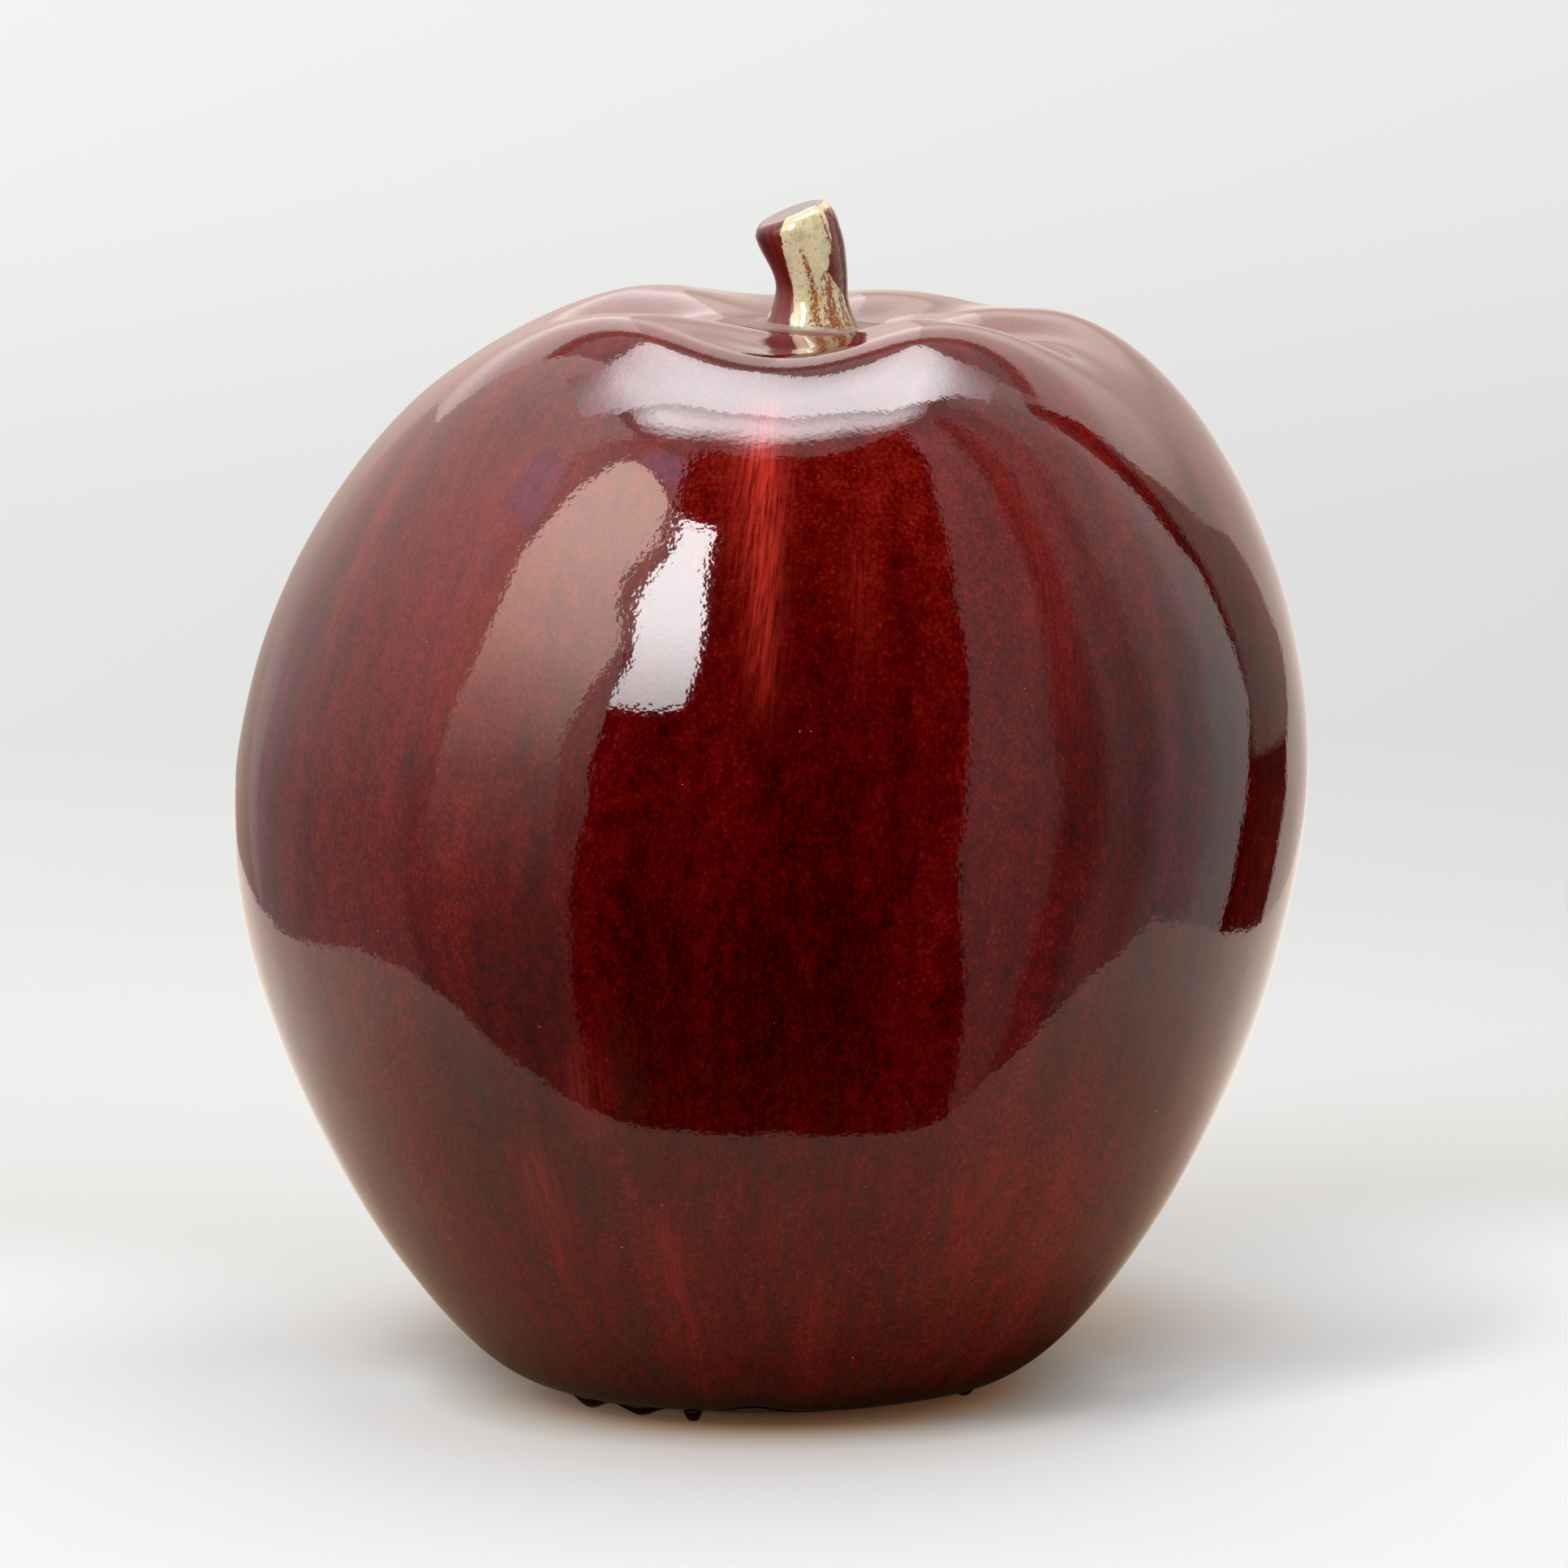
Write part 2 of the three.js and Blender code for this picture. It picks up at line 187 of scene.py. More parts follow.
# A closed mesh from rings of equally many points: the rings close on each other, or end in a pole each
def ringMesh(name, rings, poles=False, marks=None):
    rows, columns = rings.shape[:2]
    points = rings.reshape(-1, 3)
    index = np.arange(rows * columns).reshape(rows, columns)
    low = index[:-1] if poles else index
    high = index[1:] if poles else np.roll(index, -1, axis=0)
    faces = np.stack([low, np.roll(low, -1, 1), np.roll(high, -1, 1), high], -1).reshape(-1, 4).tolist()
    if poles:
        points = np.concatenate([points, [rings[0].mean(0), rings[-1].mean(0)]])
        first, last = rows * columns, rows * columns + 1
        for i in range(columns):
            k = (i + 1) % columns
            faces.append((first, int(index[0, k]), int(index[0, i])))
            faces.append((last, int(index[-1, i]), int(index[-1, k])))
    mesh = bpy.data.meshes.new(name)
    mesh.from_pydata((points * millimetre).tolist(), [], faces)
    mesh.polygons.foreach_set("use_smooth", [True] * len(faces))
    mesh.set_sharp_from_angle(angle=math.radians(sharpEdge))
    for mark, values in (marks or {}).items():
        values = np.asarray(values, float).reshape(rows * columns, -1)
        if poles:
            ends = [values[:columns].mean(0), values[-columns:].mean(0)]
            values = np.concatenate([values, ends])
        kind, field = ("FLOAT_VECTOR", "vector") if values.shape[1] == 3 else ("FLOAT", "value")
        mesh.attributes.new(mark, kind, "POINT").data.foreach_set(field, values.ravel())
    mesh.update()
    return placeObject(name, mesh)


def finishPiece(piece, material, node):
    piece.data.materials.append(material)
    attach(piece, "root")
    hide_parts(node)
    print("made", piece.name, len(piece.data.polygons), "faces")


def linear(hexColour):
    parts = [int(hexColour[i:i + 2], 16) / 255 for i in (1, 3, 5)]
    return [p / 12.92 if p <= 0.04045 else ((p + 0.055) / 1.055) ** 2.4 for p in parts] + [1]


# Short names: the node, the output that is meant if that isn't its first, and its settings
nodeKinds = {
    "mark": ("Attribute", "Fac", {}), "flow": ("Attribute", "Vector", {"attribute_name": "flow"}),
    "place": ("TexCoord", "Object", {}), "stretch": ("Mapping", None, {}), "noise": ("TexNoise", None, {}),
    "cells": ("TexVoronoi", None, {}), "ramp": ("ValToRGB", None, {}), "parts": ("SeparateXYZ", None, {}),
    "range": ("MapRange", None, {}), "softRange": ("MapRange", None, {"interpolation_type": "SMOOTHSTEP"}),
    "mix": ("Mix", None, {"data_type": "RGBA"}),
    "distance": ("VectorMath", None, {"operation": "DISTANCE"}),
}
sums = {"plus": "ADD", "minus": "SUBTRACT", "times": "MULTIPLY", "timesPlus": "MULTIPLY_ADD",
        "larger": "MAXIMUM"}
for sumName, operation in sums.items():
    nodeKinds[sumName] = ("Math", None, {"operation": operation})


# Adds a node. Inputs are given in Blender's order, or by name: each is a value, a hex colour, the node
# that feeds it, or that node and the name of its output. Other names are the node's own settings.
def addNode(tree, kind, *inputs, stops=(), **named):
    kind, output, settings = nodeKinds.get(kind, (kind, None, {}))
    node = tree.nodes.new("ShaderNode" + kind)
    nameOf = {socket: socket.name.replace(" ", "").lower() for socket in node.inputs}
    for key, value in {**settings, **named}.items():
        if key.lower() not in nameOf.values():
            setattr(node, key, value)
    shown = [s for s in node.inputs if s.enabled]
    given = list(zip(shown, inputs))
    for key, value in named.items():
        given += [(s, value) for s in shown if nameOf[s] == key.lower()][:1]
    for socket, value in given:
        source, wanted = value if isinstance(value, tuple) and len(value) == 2 else (value, None)
        if isinstance(source, bpy.types.Node):
            found = [s for s in source.outputs if s.enabled and wanted in (None, s.name)]
            tree.links.new(found[0], socket)
        else:
            socket.default_value = linear(value) if isinstance(value, str) else value
    if stops:
        ramp = node.color_ramp
        while len(ramp.elements) < len(stops):
            ramp.elements.new(1)
        for element, (position, colour) in zip(ramp.elements, stops):
            element.position = position
            element.color = linear(colour) if isinstance(colour, str) else colour
    return (node, output) if output else node


def newMaterial(name):
    material = bpy.data.materials.new(name)
    material.use_nodes = True
    material.node_tree.nodes.clear()
    return material, partial(addNode, material.node_tree)


def placeInMillimetres(add):
    return add("VectorMath", add("place"), operation="SCALE", scale=1 / millimetre)


# The scale that makes a pattern's cells so many millimetres wide and long
def cellSize(across, along):
    return (1 / across, 1 / across, 1 / along)


# Round dots, one in a cell of so many millimetres. Rarity, size and soft edge are shares of the cell.
def dots(add, place, cell, rarity, size, edge, most, reach=None):
    cells = add("cells", place, 1 / cell)
    radius = add("range", (cells, "Color"), rarity, 1, 0, size)
    if reach:
        radius = add("times", radius, reach)
    return add("range", add("minus", radius, cells), 0, edge, 0, most)


# Relief in millimetres, then the surface. Each row of waves is a length, a rise and how fine they get.
def finishMaterial(add, colour, roughness, place, waves, height=0, **settings):
    for length, rise, detail in waves:
        height = add("timesPlus", add("noise", place, 1 / length, detail), rise, height)
    bump = add("Bump", 1, millimetre, height=height)
    surface = add("BsdfPrincipled", colour, roughness=roughness, normal=bump, ior=1.5, **settings)
    add("OutputMaterial", surface)


# Oxblood: a copper red glaze, fired in reduction, that ran down the steep sides. Its colour is lighter,
# towards scarlet, on the crown and near black at the lip and in some places, so one ramp from dark to light
# gives it. Glass over clay gives the eye deep reds under sharp reflections with slightly ragged edges.
oxbloodLook = {
    # colours from dark to light
    "thickness": [(0, "#120000"), (0.14, "#240000"), (0.3, "#3c0000"), (0.48, "#520101"), (0.75, "#74100b"),
                  (1, "#8f1d15")],
    "scarlet": "#c4362b", "greenBlack": "#20160e", "ember": "#a0432f", "speck": "#d8c4b8",
    "pinhole": "#0f0403",
    # millimetres across and along, how much it shows high up and how much low down, where the glaze ran
    "wideStreak": (15, 150, 0.07, 0.05), "runStreak": (6, 24, 0.04, 0.045),
    "fineStreak": (0.9, 3.2, 0.05, 0.07), "blotch": (5.5, 8, 0.08, 0.05), "mottle": (1.5, 1.9, 0.03, 0.03),
    "grainCell": (1.55, 1.8), "grainShare": 0.1,  # round grains of copper, lighter in their middle
    "emberCell": 1.15, "brush": (1.3, 17), "noiseRoughness": 0.55,
    # spans: the two ends of a noise or distance that count, then what they turn into if not 0 and 1
    "noiseSpan": (0.3, 0.7, -1), "grainSpan": (0.1, 0.85, 1, -1), "grainTint": 0.8,
    "brushSpan": (0.36, 0.64, 0.15), "ironSpan": (0.38, 0.62, 0, 0.6), "thinSpan": (0.3, 0.7),
    "fibreScarlet": (0.5, 0.32, 0, 0.06), "fibreIron": (0.5, 0.66, 0, 0.42),
    "emberSpan": (0.5, 0.78, 0, 0.3),
    # specks and pinholes: millimetres between them, how rare and large they are, soft edge and strength
    "specks": (4.2, 0.7, 0.095, 0.02, 0.6), "pinholes": (2.6, 0.5, 0.17, 0.05, 1), "pitDepth": 0.05,
    "waves": [(2.0, 0.019, 0), (0.9, 0.009, 0)], "roughness": (0.03, 0.06),
}


def oxbloodGlaze(look):
    material, add = newMaterial("oxblood copper red glaze")
    flow = add("flow")
    place = placeInMillimetres(add)
    thin, runs, scarlet, iron, low = (add("mark", attribute_name=mark)
                                      for mark in ("thin", "runs", "scarlet", "iron", "low"))
    # the ramp's place from dark to light: lighter towards the crown, with streaks, grains and darker places
    thickness = thin
    noises = {}
    for name, way, detail in (("wideStreak", flow, 1), ("runStreak", flow, 3), ("fineStreak", flow, 3),
                              ("blotch", place, 3), ("mottle", place, 2)):
        across, along, highUp, lowDown = look[name]
        stretched = add("stretch", way, scale=cellSize(across, along))
        noises[name] = add("noise", stretched, 1, detail, look["noiseRoughness"])
        swing = add("range", noises[name], *look["noiseSpan"], clamp=False)
        thickness = add("timesPlus", swing, add("range", runs, 0, 1, highUp, lowDown), thickness)
    grains = add("cells", add("stretch", place, scale=cellSize(*look["grainCell"])), 1)
    grainLight = add("range", grains, *look["grainSpan"])
    grainLight = add("timesPlus", (grains, "Color"), look["grainTint"], grainLight)
    thickness = add("timesPlus", grainLight, look["grainShare"], thickness)
    colour = add("ramp", thickness, stops=look["thickness"])

    brush = add("noise", add("stretch", flow, scale=cellSize(*look["brush"])), 1, 3, 0.6)
    scarletShare = add("times", scarlet, add("range", brush, *look["brushSpan"]))
    ironShare = add("times", iron, add("range", noises["wideStreak"], *look["ironSpan"]))
    # low down, fibres of scarlet and of greenish black lie between each other
    for name, share, fibre in (("scarlet", scarletShare, "fibreScarlet"),
                               ("greenBlack", ironShare, "fibreIron")):
        peaks = add("range", noises["runStreak"], *look[fibre])
        share = add("timesPlus", peaks, runs, share, use_clamp=True)
        colour = add("mix", share, colour, look[name])

    embers = add("noise", place, 1 / look["emberCell"], 2, 0.6)
    emberShare = add("range", embers, *look["emberSpan"])
    emberShare = add("times", emberShare, add("range", thickness, *look["thinSpan"]))
    colour = add("mix", emberShare, colour, look["ember"])
    colour = add("mix", dots(add, place, *look["specks"]), colour, look["speck"])
    pinholes = dots(add, place, *look["pinholes"], reach=low)
    colour = add("mix", pinholes, colour, look["pinhole"])

    roughness = add("range", noises["mottle"], 0, 1, *look["roughness"])
    finishMaterial(add, colour, roughness, place, look["waves"], add("times", pinholes, -look["pitDepth"]))
    return material


# The glaze coat: one fine skin over the whole body, with the streaks that ran down it
glazeCoat = {
    "turns": 384, "rows": 190, "innerRows": 36, "waveHeight": 0.12, "waveLengths": (18, 75),
    # azimuth, half width in degrees, highest and lowest height, strength
    "scarletStreaks": [(-93.4, 3, 358, 300, 1.0), (-92.6, 1.8, 330, 262, 0.75), (-60, 3, 340, 250, 0.16),
                       (-128, 3, 345, 240, 0.16), (-121, 3, 118, 62, 0.22), (-106, 2.2, 95, 30, 0.22),
                       (-86, 2.6, 70, 20, 0.12), (-66, 3, 110, 60, 0.14), (-82, 2, 320, 270, 0.16),
                       (-22, 1.6, 345, 285, 0.3), (-15, 1.2, 350, 300, 0.4), (-112, 3, 150, 118, 0.3),
                       (-158, 2, 350, 300, 0.4), (-148, 2.5, 345, 280, 0.25)],
    "ironStreaks": [(-72, 5, 120, 5, 0.8), (-114, 3.5, 125, 5, 1.0), (-126, 4, 150, 40, 0.9),
                    (-102, 2.5, 110, 40, 0.7), (-95, 3, 60, 5, 0.7), (-134, 4, 120, 30, 0.7),
                    (-60, 4, 90, 5, 0.6), (-84, 3, 110, 60, 0.5), (-107, 2.6, 165, 95, 0.9),
                    (-40, 5, 190, 20, 0.35), (-150, 6, 180, 20, 0.25), (-52, 3, 350, 230, 0.5),
                    (-26, 3, 275, 190, 0.5), (-18, 1.3, 345, 290, 0.5), (-11, 1.2, 348, 300, 0.5),
                    (20, 8, 200, 10, 0.7), (70, 9, 210, 10, 0.7), (120, 7, 190, 10, 0.6),
                    (165, 8, 200, 10, 0.4)],
    "softEnd": 30,  # how far a streak fades out at its ends
    "pinholeTop": 170, "runs": (185, 70), "lipReach": (22, 4), "calmShares": (0.08, 0.1),
    # how light the glaze's colour is at each height, lighter towards the crown: 0 is the darkest
    "thinness": [(0, 0), (7, 0.06), (16, 0.35), (30, 0.45), (80, 0.48), (130, 0.45), (180, 0.45),
                 (230, 0.46), (300, 0.52), (340, 0.6), (375, 0.67), (395, 0.69)],
    # places darker or lighter than that: azimuth, half width, height, half height, change
    "gathered": [(-93, 22, 200, 110, -0.15), (-97, 17, 150, 50, -0.08), (-88, 34, 350, 12, -0.2),
                 (-124, 10, 130, 55, -0.12), (-44, 18, 185, 85, -0.17), (-33, 13, 272, 50, -0.16),
                 (-128, 13, 285, 42, 0.12), (-55, 16, 75, 55, 0.09),
                 (60, 22, 180, 110, -0.1), (140, 14, 200, 110, -0.12)],
    # the lower edge lifts in a low arch and falls a little beside it: azimuth, half width, lift
    "lipArches": [(-93, 7, 1.9), (-70, 9, -0.3), (-130, 12, -0.3), (40, 14, 0.8), (150, 11, 1.0)],
}


def azimuthOf(points):
    return np.degrees(np.arctan2(points[..., 1], points[..., 0] - bodyForm["leanRight"] / 2))


def streakMarks(points, streaks, softEnd):
    angle = azimuthOf(points)
    height = points[..., 2]
    total = np.zeros(points.shape[:-1])
    for azimuth, half, top, bottom, strength in streaks:
        fade = smoothstep(height, bottom - softEnd, bottom + softEnd)
        fade = fade * smoothstep(height, top, top - softEnd)
        total = np.maximum(total, strength * fade * bell(angle, azimuth, half))
    return total


# How far the lower edge of the glaze lifts at each angle
def lipLift(angles):
    degrees = np.degrees(angles)
    return sum(lift * bell(degrees, azimuth, half) for azimuth, half, lift in glazeCoat["lipArches"])


def lightnessMark(points, look):
    angle = azimuthOf(points)
    thin = alongTable(points[..., 2], look["thinness"])
    for azimuth, half, height, halfHeight, change in look["gathered"]:
        away = degreesAway(angle, azimuth) / half
        thin = thin + change * np.exp(-away ** 4 - ((points[..., 2] - height) / halfHeight) ** 4)
    return thin


def makeGlazeCoat(look):
    angles = turn(look["turns"])[None]
    holeShare = float(shareInDimple(stemForm["rootRadius"] + coats["gap"]))
    outerShares = evenShares(0, holeShare, look["rows"])[:, None]
    innerShares = evenShares(0, holeShare, look["innerRows"])[::-1][:, None]
    waves = handWaves(bodyPoints(outerShares, angles), look["waveHeight"], *look["waveLengths"], seed=11)
    calmLip, calmHole = look["calmShares"]
    calm = smoothstep(outerShares, 0, calmLip) * smoothstep(outerShares, holeShare, holeShare - calmHole)
    outer = bodyPoints(outerShares, angles, -waves * calm)
    points = np.concatenate([outer, bodyPoints(innerShares, angles, coats["glaze"])])
    height = points[..., 2]
    height += lipLift(angles) * smoothstep(height, *look["lipReach"])
    way = wayAlong(outlineAt(outerShares[:, 0])[0])
    way = np.concatenate([way, np.interp(innerShares[:, 0], outerShares[:, 0], way)])
    marks = {
        "flow": roundPoints(bodyForm["equatorRadius"], angles, way[:, None]),
        "scarlet": streakMarks(points, look["scarletStreaks"], look["softEnd"]),
        "iron": streakMarks(points, look["ironStreaks"], look["softEnd"]),
        "low": smoothstep(height, look["pinholeTop"], 0),
        "runs": smoothstep(height, *look["runs"]),
        "thin": lightnessMark(points, look),
    }
    return ringMesh("glazeCoat", points, marks=marks)


# Rolled edge above the foot, where the glaze ran down, gathered and hung in short drips. Thick glass
# looks nearly black, and its drips took up grit.
edgeLook = {
    # the specular level is lowered: painted shade on the roll's reflections, near the floor
    "thick": "#130403", "red": "#350908", "grit": "#6e3522", "waves": [(3.0, 0.008, 1)], "specular": 0.3,
    "cloudSize": 6, "cloudSpan": (0.45, 0.75), "gritSize": 0.8, "gritSpan": (0.48, 0.6),
    "gritHeights": (2.6, 1.2), "roughness": (0.06, 0.45),
}
glazeEdge = {
    "turns": 900, "around": 28, "width": 5, "gap": 0.1, "top": 6.198, "drop": 1, "wave": 0.35, "waves": 7,
    # azimuth, half width in degrees, length and how flat the end is
    "drips": [(-142.5, 6.5, 3.2, 2), (-124, 6.5, 3.2, 2), (-109, 2.4, 3.9, 5), (-25.5, 4.5, 2.6, 2),
              (37, 3.4, 1.9, 2), (84, 4.4, 2.4, 3), (121, 3.2, 1.6, 2), (163, 4, 2.3, 3)],
    "dripTaper": 1.25, "dripSwell": 0.5,  # a drip hangs a little fatter than the roll
}


def makeGlazeEdge(look):
    angles = turn(look["turns"])
    drip = np.zeros(look["turns"])
    for azimuth, half, length, flat in look["drips"]:
        away = np.abs(degreesAway(np.degrees(angles), azimuth)) / half
        drip = np.maximum(drip, length * np.exp(-(away * look["dripTaper"]) ** flat))
    edge = bodyForm["lipHeight"] - look["drop"] + lipLift(angles)
    bottom = edge - look["wave"] * np.sin(look["waves"] * angles) - drip
    around = (turn(look["around"]) - math.pi / 2)[:, None]
    tall = (look["top"] - bottom)[None] / 2
    wide = look["width"] / 2
    swell = smoothstep(drip, 0, 1)[None] * look["dripSwell"]
    radius = bodyForm["lipRadius"] - look["gap"] - wide + (wide + swell) * np.cos(around)
    height = look["top"] - tall + tall * np.sin(around)
    return ringMesh("glazeEdgeRoll", roundPoints(radius, angles, height))


def edgeGlaze(look):
    material, add = newMaterial("thick oxblood glaze roll")
    place = placeInMillimetres(add)
    clouds = add("range", add("noise", place, 1 / look["cloudSize"], 3), *look["cloudSpan"])
    reds = add("mix", clouds, look["thick"], look["red"])
    grit = add("range", add("noise", place, 1 / look["gritSize"], 2), *look["gritSpan"])
    grit = add("times", add("range", (add("parts", place), "Z"), *look["gritHeights"]), grit)
    colour = add("mix", grit, reds, look["grit"])
    roughness = add("range", grit, 0, 1, *look["roughness"])
    finishMaterial(add, colour, roughness, place, look["waves"], specularIorLevel=look["specular"])
    return material


# The stem: a hand-formed shaft with a flared root, a waist and an oblique cut
stemForm = {
    "rootRadius": 17.7, "waistRadius": 12.4, "waistHeight": 14, "topRadius": 14.6, "shaftHeight": 34.2,
    "lean": 4.9, "rimWidth": 4.7, "rimHeight": 6.7, "rimLean": 1.8, "shaftTilt": (8.5, 4),
    "faceTilt": (20.6, 10), "flarePower": 1.6, "leanPower": 1.5,
}
stemRoot = bodyPoints(3, 0.0)
rootLean = float(smoothstep(bodyForm["crestHeight"] - bodyForm["dimpleDepth"],
                            bodyForm["leanBottom"], bodyForm["leanTop"]))
rootTilt = (-math.atan(bodyForm["dipRight"] * rootLean), math.atan(bodyForm["dipFront"] * rootLean))


# A ring tilted to the right and to the back, with its middle off the root of the stem
def tiltedRing(angles, lean, height, radius, tiltRight, tiltBack):
    right = np.array([math.cos(tiltRight), 0, math.sin(tiltRight)])
    back = np.array([0, math.cos(tiltBack), math.sin(tiltBack)])
    up = np.cross(right, back)
    middle = stemRoot + np.array([-lean, 0, height])
    spread = radius * (np.cos(angles)[:, None] * right + np.sin(angles)[:, None] * back)
    return middle + spread, up / np.linalg.norm(up)


def stemRadius(height):
    f = stemForm
    flare = max(0, 1 - height / f["waistHeight"]) ** f["flarePower"]
    swell = float(smoothstep(height, f["waistHeight"], f["shaftHeight"]))
    rootGain = (f["rootRadius"] - f["waistRadius"]) * flare
    return f["waistRadius"] + rootGain + (f["topRadius"] - f["waistRadius"]) * swell


def shaftRing(angles, height, inset=0.0):
    f = stemForm
    above = min(max((height - f["waistHeight"]) / (f["shaftHeight"] - f["waistHeight"]), 0), 1)
    bend = float(smoothstep(above, 0, 1))
    tilts = [root + (math.radians(top) - root) * bend for root, top in zip(rootTilt, f["shaftTilt"])]
    lean = f["lean"] * above ** f["leanPower"]
    return tiltedRing(angles, lean, height, stemRadius(height) - inset, *tilts)


def faceRing(angles, inset=0.0, share=1.0):
    f = stemForm
    points, up = tiltedRing(angles, f["lean"] + f["rimLean"], f["shaftHeight"] + f["rimHeight"],
                            (f["topRadius"] - f["rimWidth"]) * share, *map(math.radians, f["faceTilt"]))
    return points - up * inset


def rimRing(angles, roundShare, inset=0.0):
    start, up = shaftRing(angles, stemForm["shaftHeight"], inset)
    span = faceRing(angles, inset) - start
    rise = (span @ up)[:, None] * up
    return start + rise * math.sin(roundShare) + (span - rise) * (1 - math.cos(roundShare))


def rootRing(angles, radius, depth):
    return bodyPoints(shareInDimple(radius), angles, depth)


# Heights along the stem are a way from its root, which goes on over the rim and the cut face
stemCoat = {
    "turns": 224, "rows": (34, 46, 26, 14), "innerRows": (9, 9, 9, 9),  # flare, shaft, rim and face
    "ways": (6, 10, 8), "faceHole": 0.03,  # over the rim, to the face and over the face
    "waveHeight": 0.16, "waveLengths": (7, 22), "calmRoot": (1, 8), "calmTop": (46, 36), "flowRadius": 13,
    # the pale patch in front: way from the root, azimuth of its left and of its right edge
    "patch": [(-2, -121, -24), (8, -118, -26), (13, -120, -30), (17, -123, -48), (21, -123, -62),
              (25, -121, -56), (30, -117, -43), (36, -113, -42), (44, -104, -34)],
    "patchTop": 46, "patchSoft": 9,
    "paleFlare": (-168, 8, 4.5, 2.6, 0.7),  # azimuth, half width, way, half height and strength
    # rust streaks in it: azimuth and way of the top, azimuth and way of the foot, half width
    "rust": [(-93, 28, -84, 4, 9), (-64, 20, -58, 0, 19), (-50, 40, -46, 30, 4), (-40, 14, -38, 0, 10)],
    "rustFade": 3, "rustTip": 0.4,
    "rimFrom": -112, "rimTo": 15, "rimSoft": 12, "rimWay": 41, "rimHalf": 2.2, "cutWay": (41, 44),
}


def stemRows(look, angles, inset, counts):
    f = stemForm
    flare, shaft, rim, face = counts
    top = f["shaftHeight"]
    heights = [*np.linspace(0, f["waistHeight"], flare), *np.linspace(f["waistHeight"], top, shaft)[1:]]
    rows = [(rootRing(angles, f["rootRadius"] - inset, coats["glaze"]), 0)]
    rows += [(shaftRing(angles, h, inset)[0], h) for h in heights]
    overRim, faceWay, faceWidth = look["ways"]
    rows += [(rimRing(angles, r, inset), top + overRim * r) for r in np.linspace(0, math.pi / 2, rim)[1:]]
    rows += [(faceRing(angles, inset, s), top + faceWay + faceWidth * (1 - s))
             for s in np.linspace(1, look["faceHole"], face)[1:]]
    return np.array([r[0] for r in rows]), np.array([r[1] for r in rows])


def makeStemCoat(look):
    angles = turn(look["turns"])
    outer, outerWay = stemRows(look, angles, 0, look["rows"])
    inner, innerWay = stemRows(look, angles, coats["stemGlaze"], look["innerRows"])
    outward = outer - outer.mean(1, keepdims=True)
    outward /= np.maximum(np.linalg.norm(outward, axis=-1, keepdims=True), 1e-6)
    waves = handWaves(outer, look["waveHeight"], *look["waveLengths"], seed=5)
    calm = smoothstep(outerWay, *look["calmRoot"]) * smoothstep(outerWay, *look["calmTop"])
    outer = outer + outward * (waves * calm[:, None])[..., None]

    way = np.concatenate([outerWay[::-1], innerWay])[:, None]
    degrees = degreesAway(np.degrees(angles), 0)[None]
    table = np.array(look["patch"], float)
    left, right = (np.interp(way, table[:, 0], table[:, edge]) for edge in (1, 2))
    inside = np.minimum(degrees - left, right - degrees) / look["patchSoft"] + 0.5
    patch = np.clip(inside, 0, 1) * (way < look["patchTop"])
    azimuth, half, flareWay, flareHalf, strength = look["paleFlare"]  # where the glaze is thin on the flare
    flare = np.exp(-((degrees - azimuth) / half) ** 2 - ((way - flareWay) / flareHalf) ** 2)
    patch = np.maximum(patch, strength * flare)
    around = np.minimum(degrees - look["rimFrom"], look["rimTo"] - degrees) / look["rimSoft"]
    rim = np.exp(-((way - look["rimWay"]) / look["rimHalf"]) ** 2) * smoothstep(around, 0, 1)
    rust = np.zeros_like(patch)
    for topAzimuth, top, footAzimuth, foot, half in look["rust"]:
        down = np.clip((top - way) / (top - foot), 0, 1)
        middle = topAzimuth + (footAzimuth - topAzimuth) * down
        spread = half * (look["rustTip"] + (1 - look["rustTip"]) * down)
        fade = smoothstep(way, foot - look["rustFade"], foot) * smoothstep(way, top + look["rustFade"], top)
        rust = np.maximum(rust, fade * np.exp(-((degrees - middle) / spread) ** 2))
    marks = {"flow": roundPoints(look["flowRadius"], angles, way), "patch": patch, "rim": rim, "rust": rust,
             "cut": np.broadcast_to(smoothstep(way, *look["cutWay"]), patch.shape)}
    return ringMesh("stemCoat", np.concatenate([outer[::-1], inner])[:, ::-1], poles=True,
                    marks={mark: values[:, ::-1] for mark, values in marks.items()})


# Stem glaze: the same oxblood, thin at the rim where it broke to cream, with a celadon patch in front
# where the copper burned out. The crackle and the rust flecks give the eye an older, softer glass.
stemLook = {
    "deepRed": "#450507", "red": "#7c100e", "dull": "#6a2a22", "cut": "#4a1414", "cream": "#ddd0a6",
    "celadon": "#c6c5a0", "olive": "#bb9f58", "rust": "#8c4214", "crackle": "#efe8cf",
    "rimCream": "#e2cfa2",
    # sizes in millimetres, or across and along
    "streaks": (2.5, 20), "flecks": (1, 5 / 3), "clouds": (6.25, 10), "tinge": 1 / 0.13, "wobble": 5 / 3,
    "crackleCell": 1.5, "ragged": 2, "waves": [(2.5, 0.03, 1.5)], "crackleRise": 0.012,
    "roughness": (0.03, 0.1), "wobbleShare": 0.35, "rustShare": 0.2,
    # spans, as in the glaze of the body
    "redSpan": (0.35, 0.7), "rightSpan": (3, 9, 0, 0.8), "paleSpan": (0.46, 0.36, 0, 0.6),
    "cloudSpan": (0.42, 0.62), "tingeSpan": (0.5, 0.68, 0, 0.8), "crackleSpan": (0.08, 0.02, 0, 0.45),
    "rustSpan": (0.6, 0.67, 0, 0.92), "raggedSpan": (0.3, 0.7, -0.2, 0.2), "patchSpan": (0.42, 0.58),
    "rimSpan": (0.45, 0.8),
}


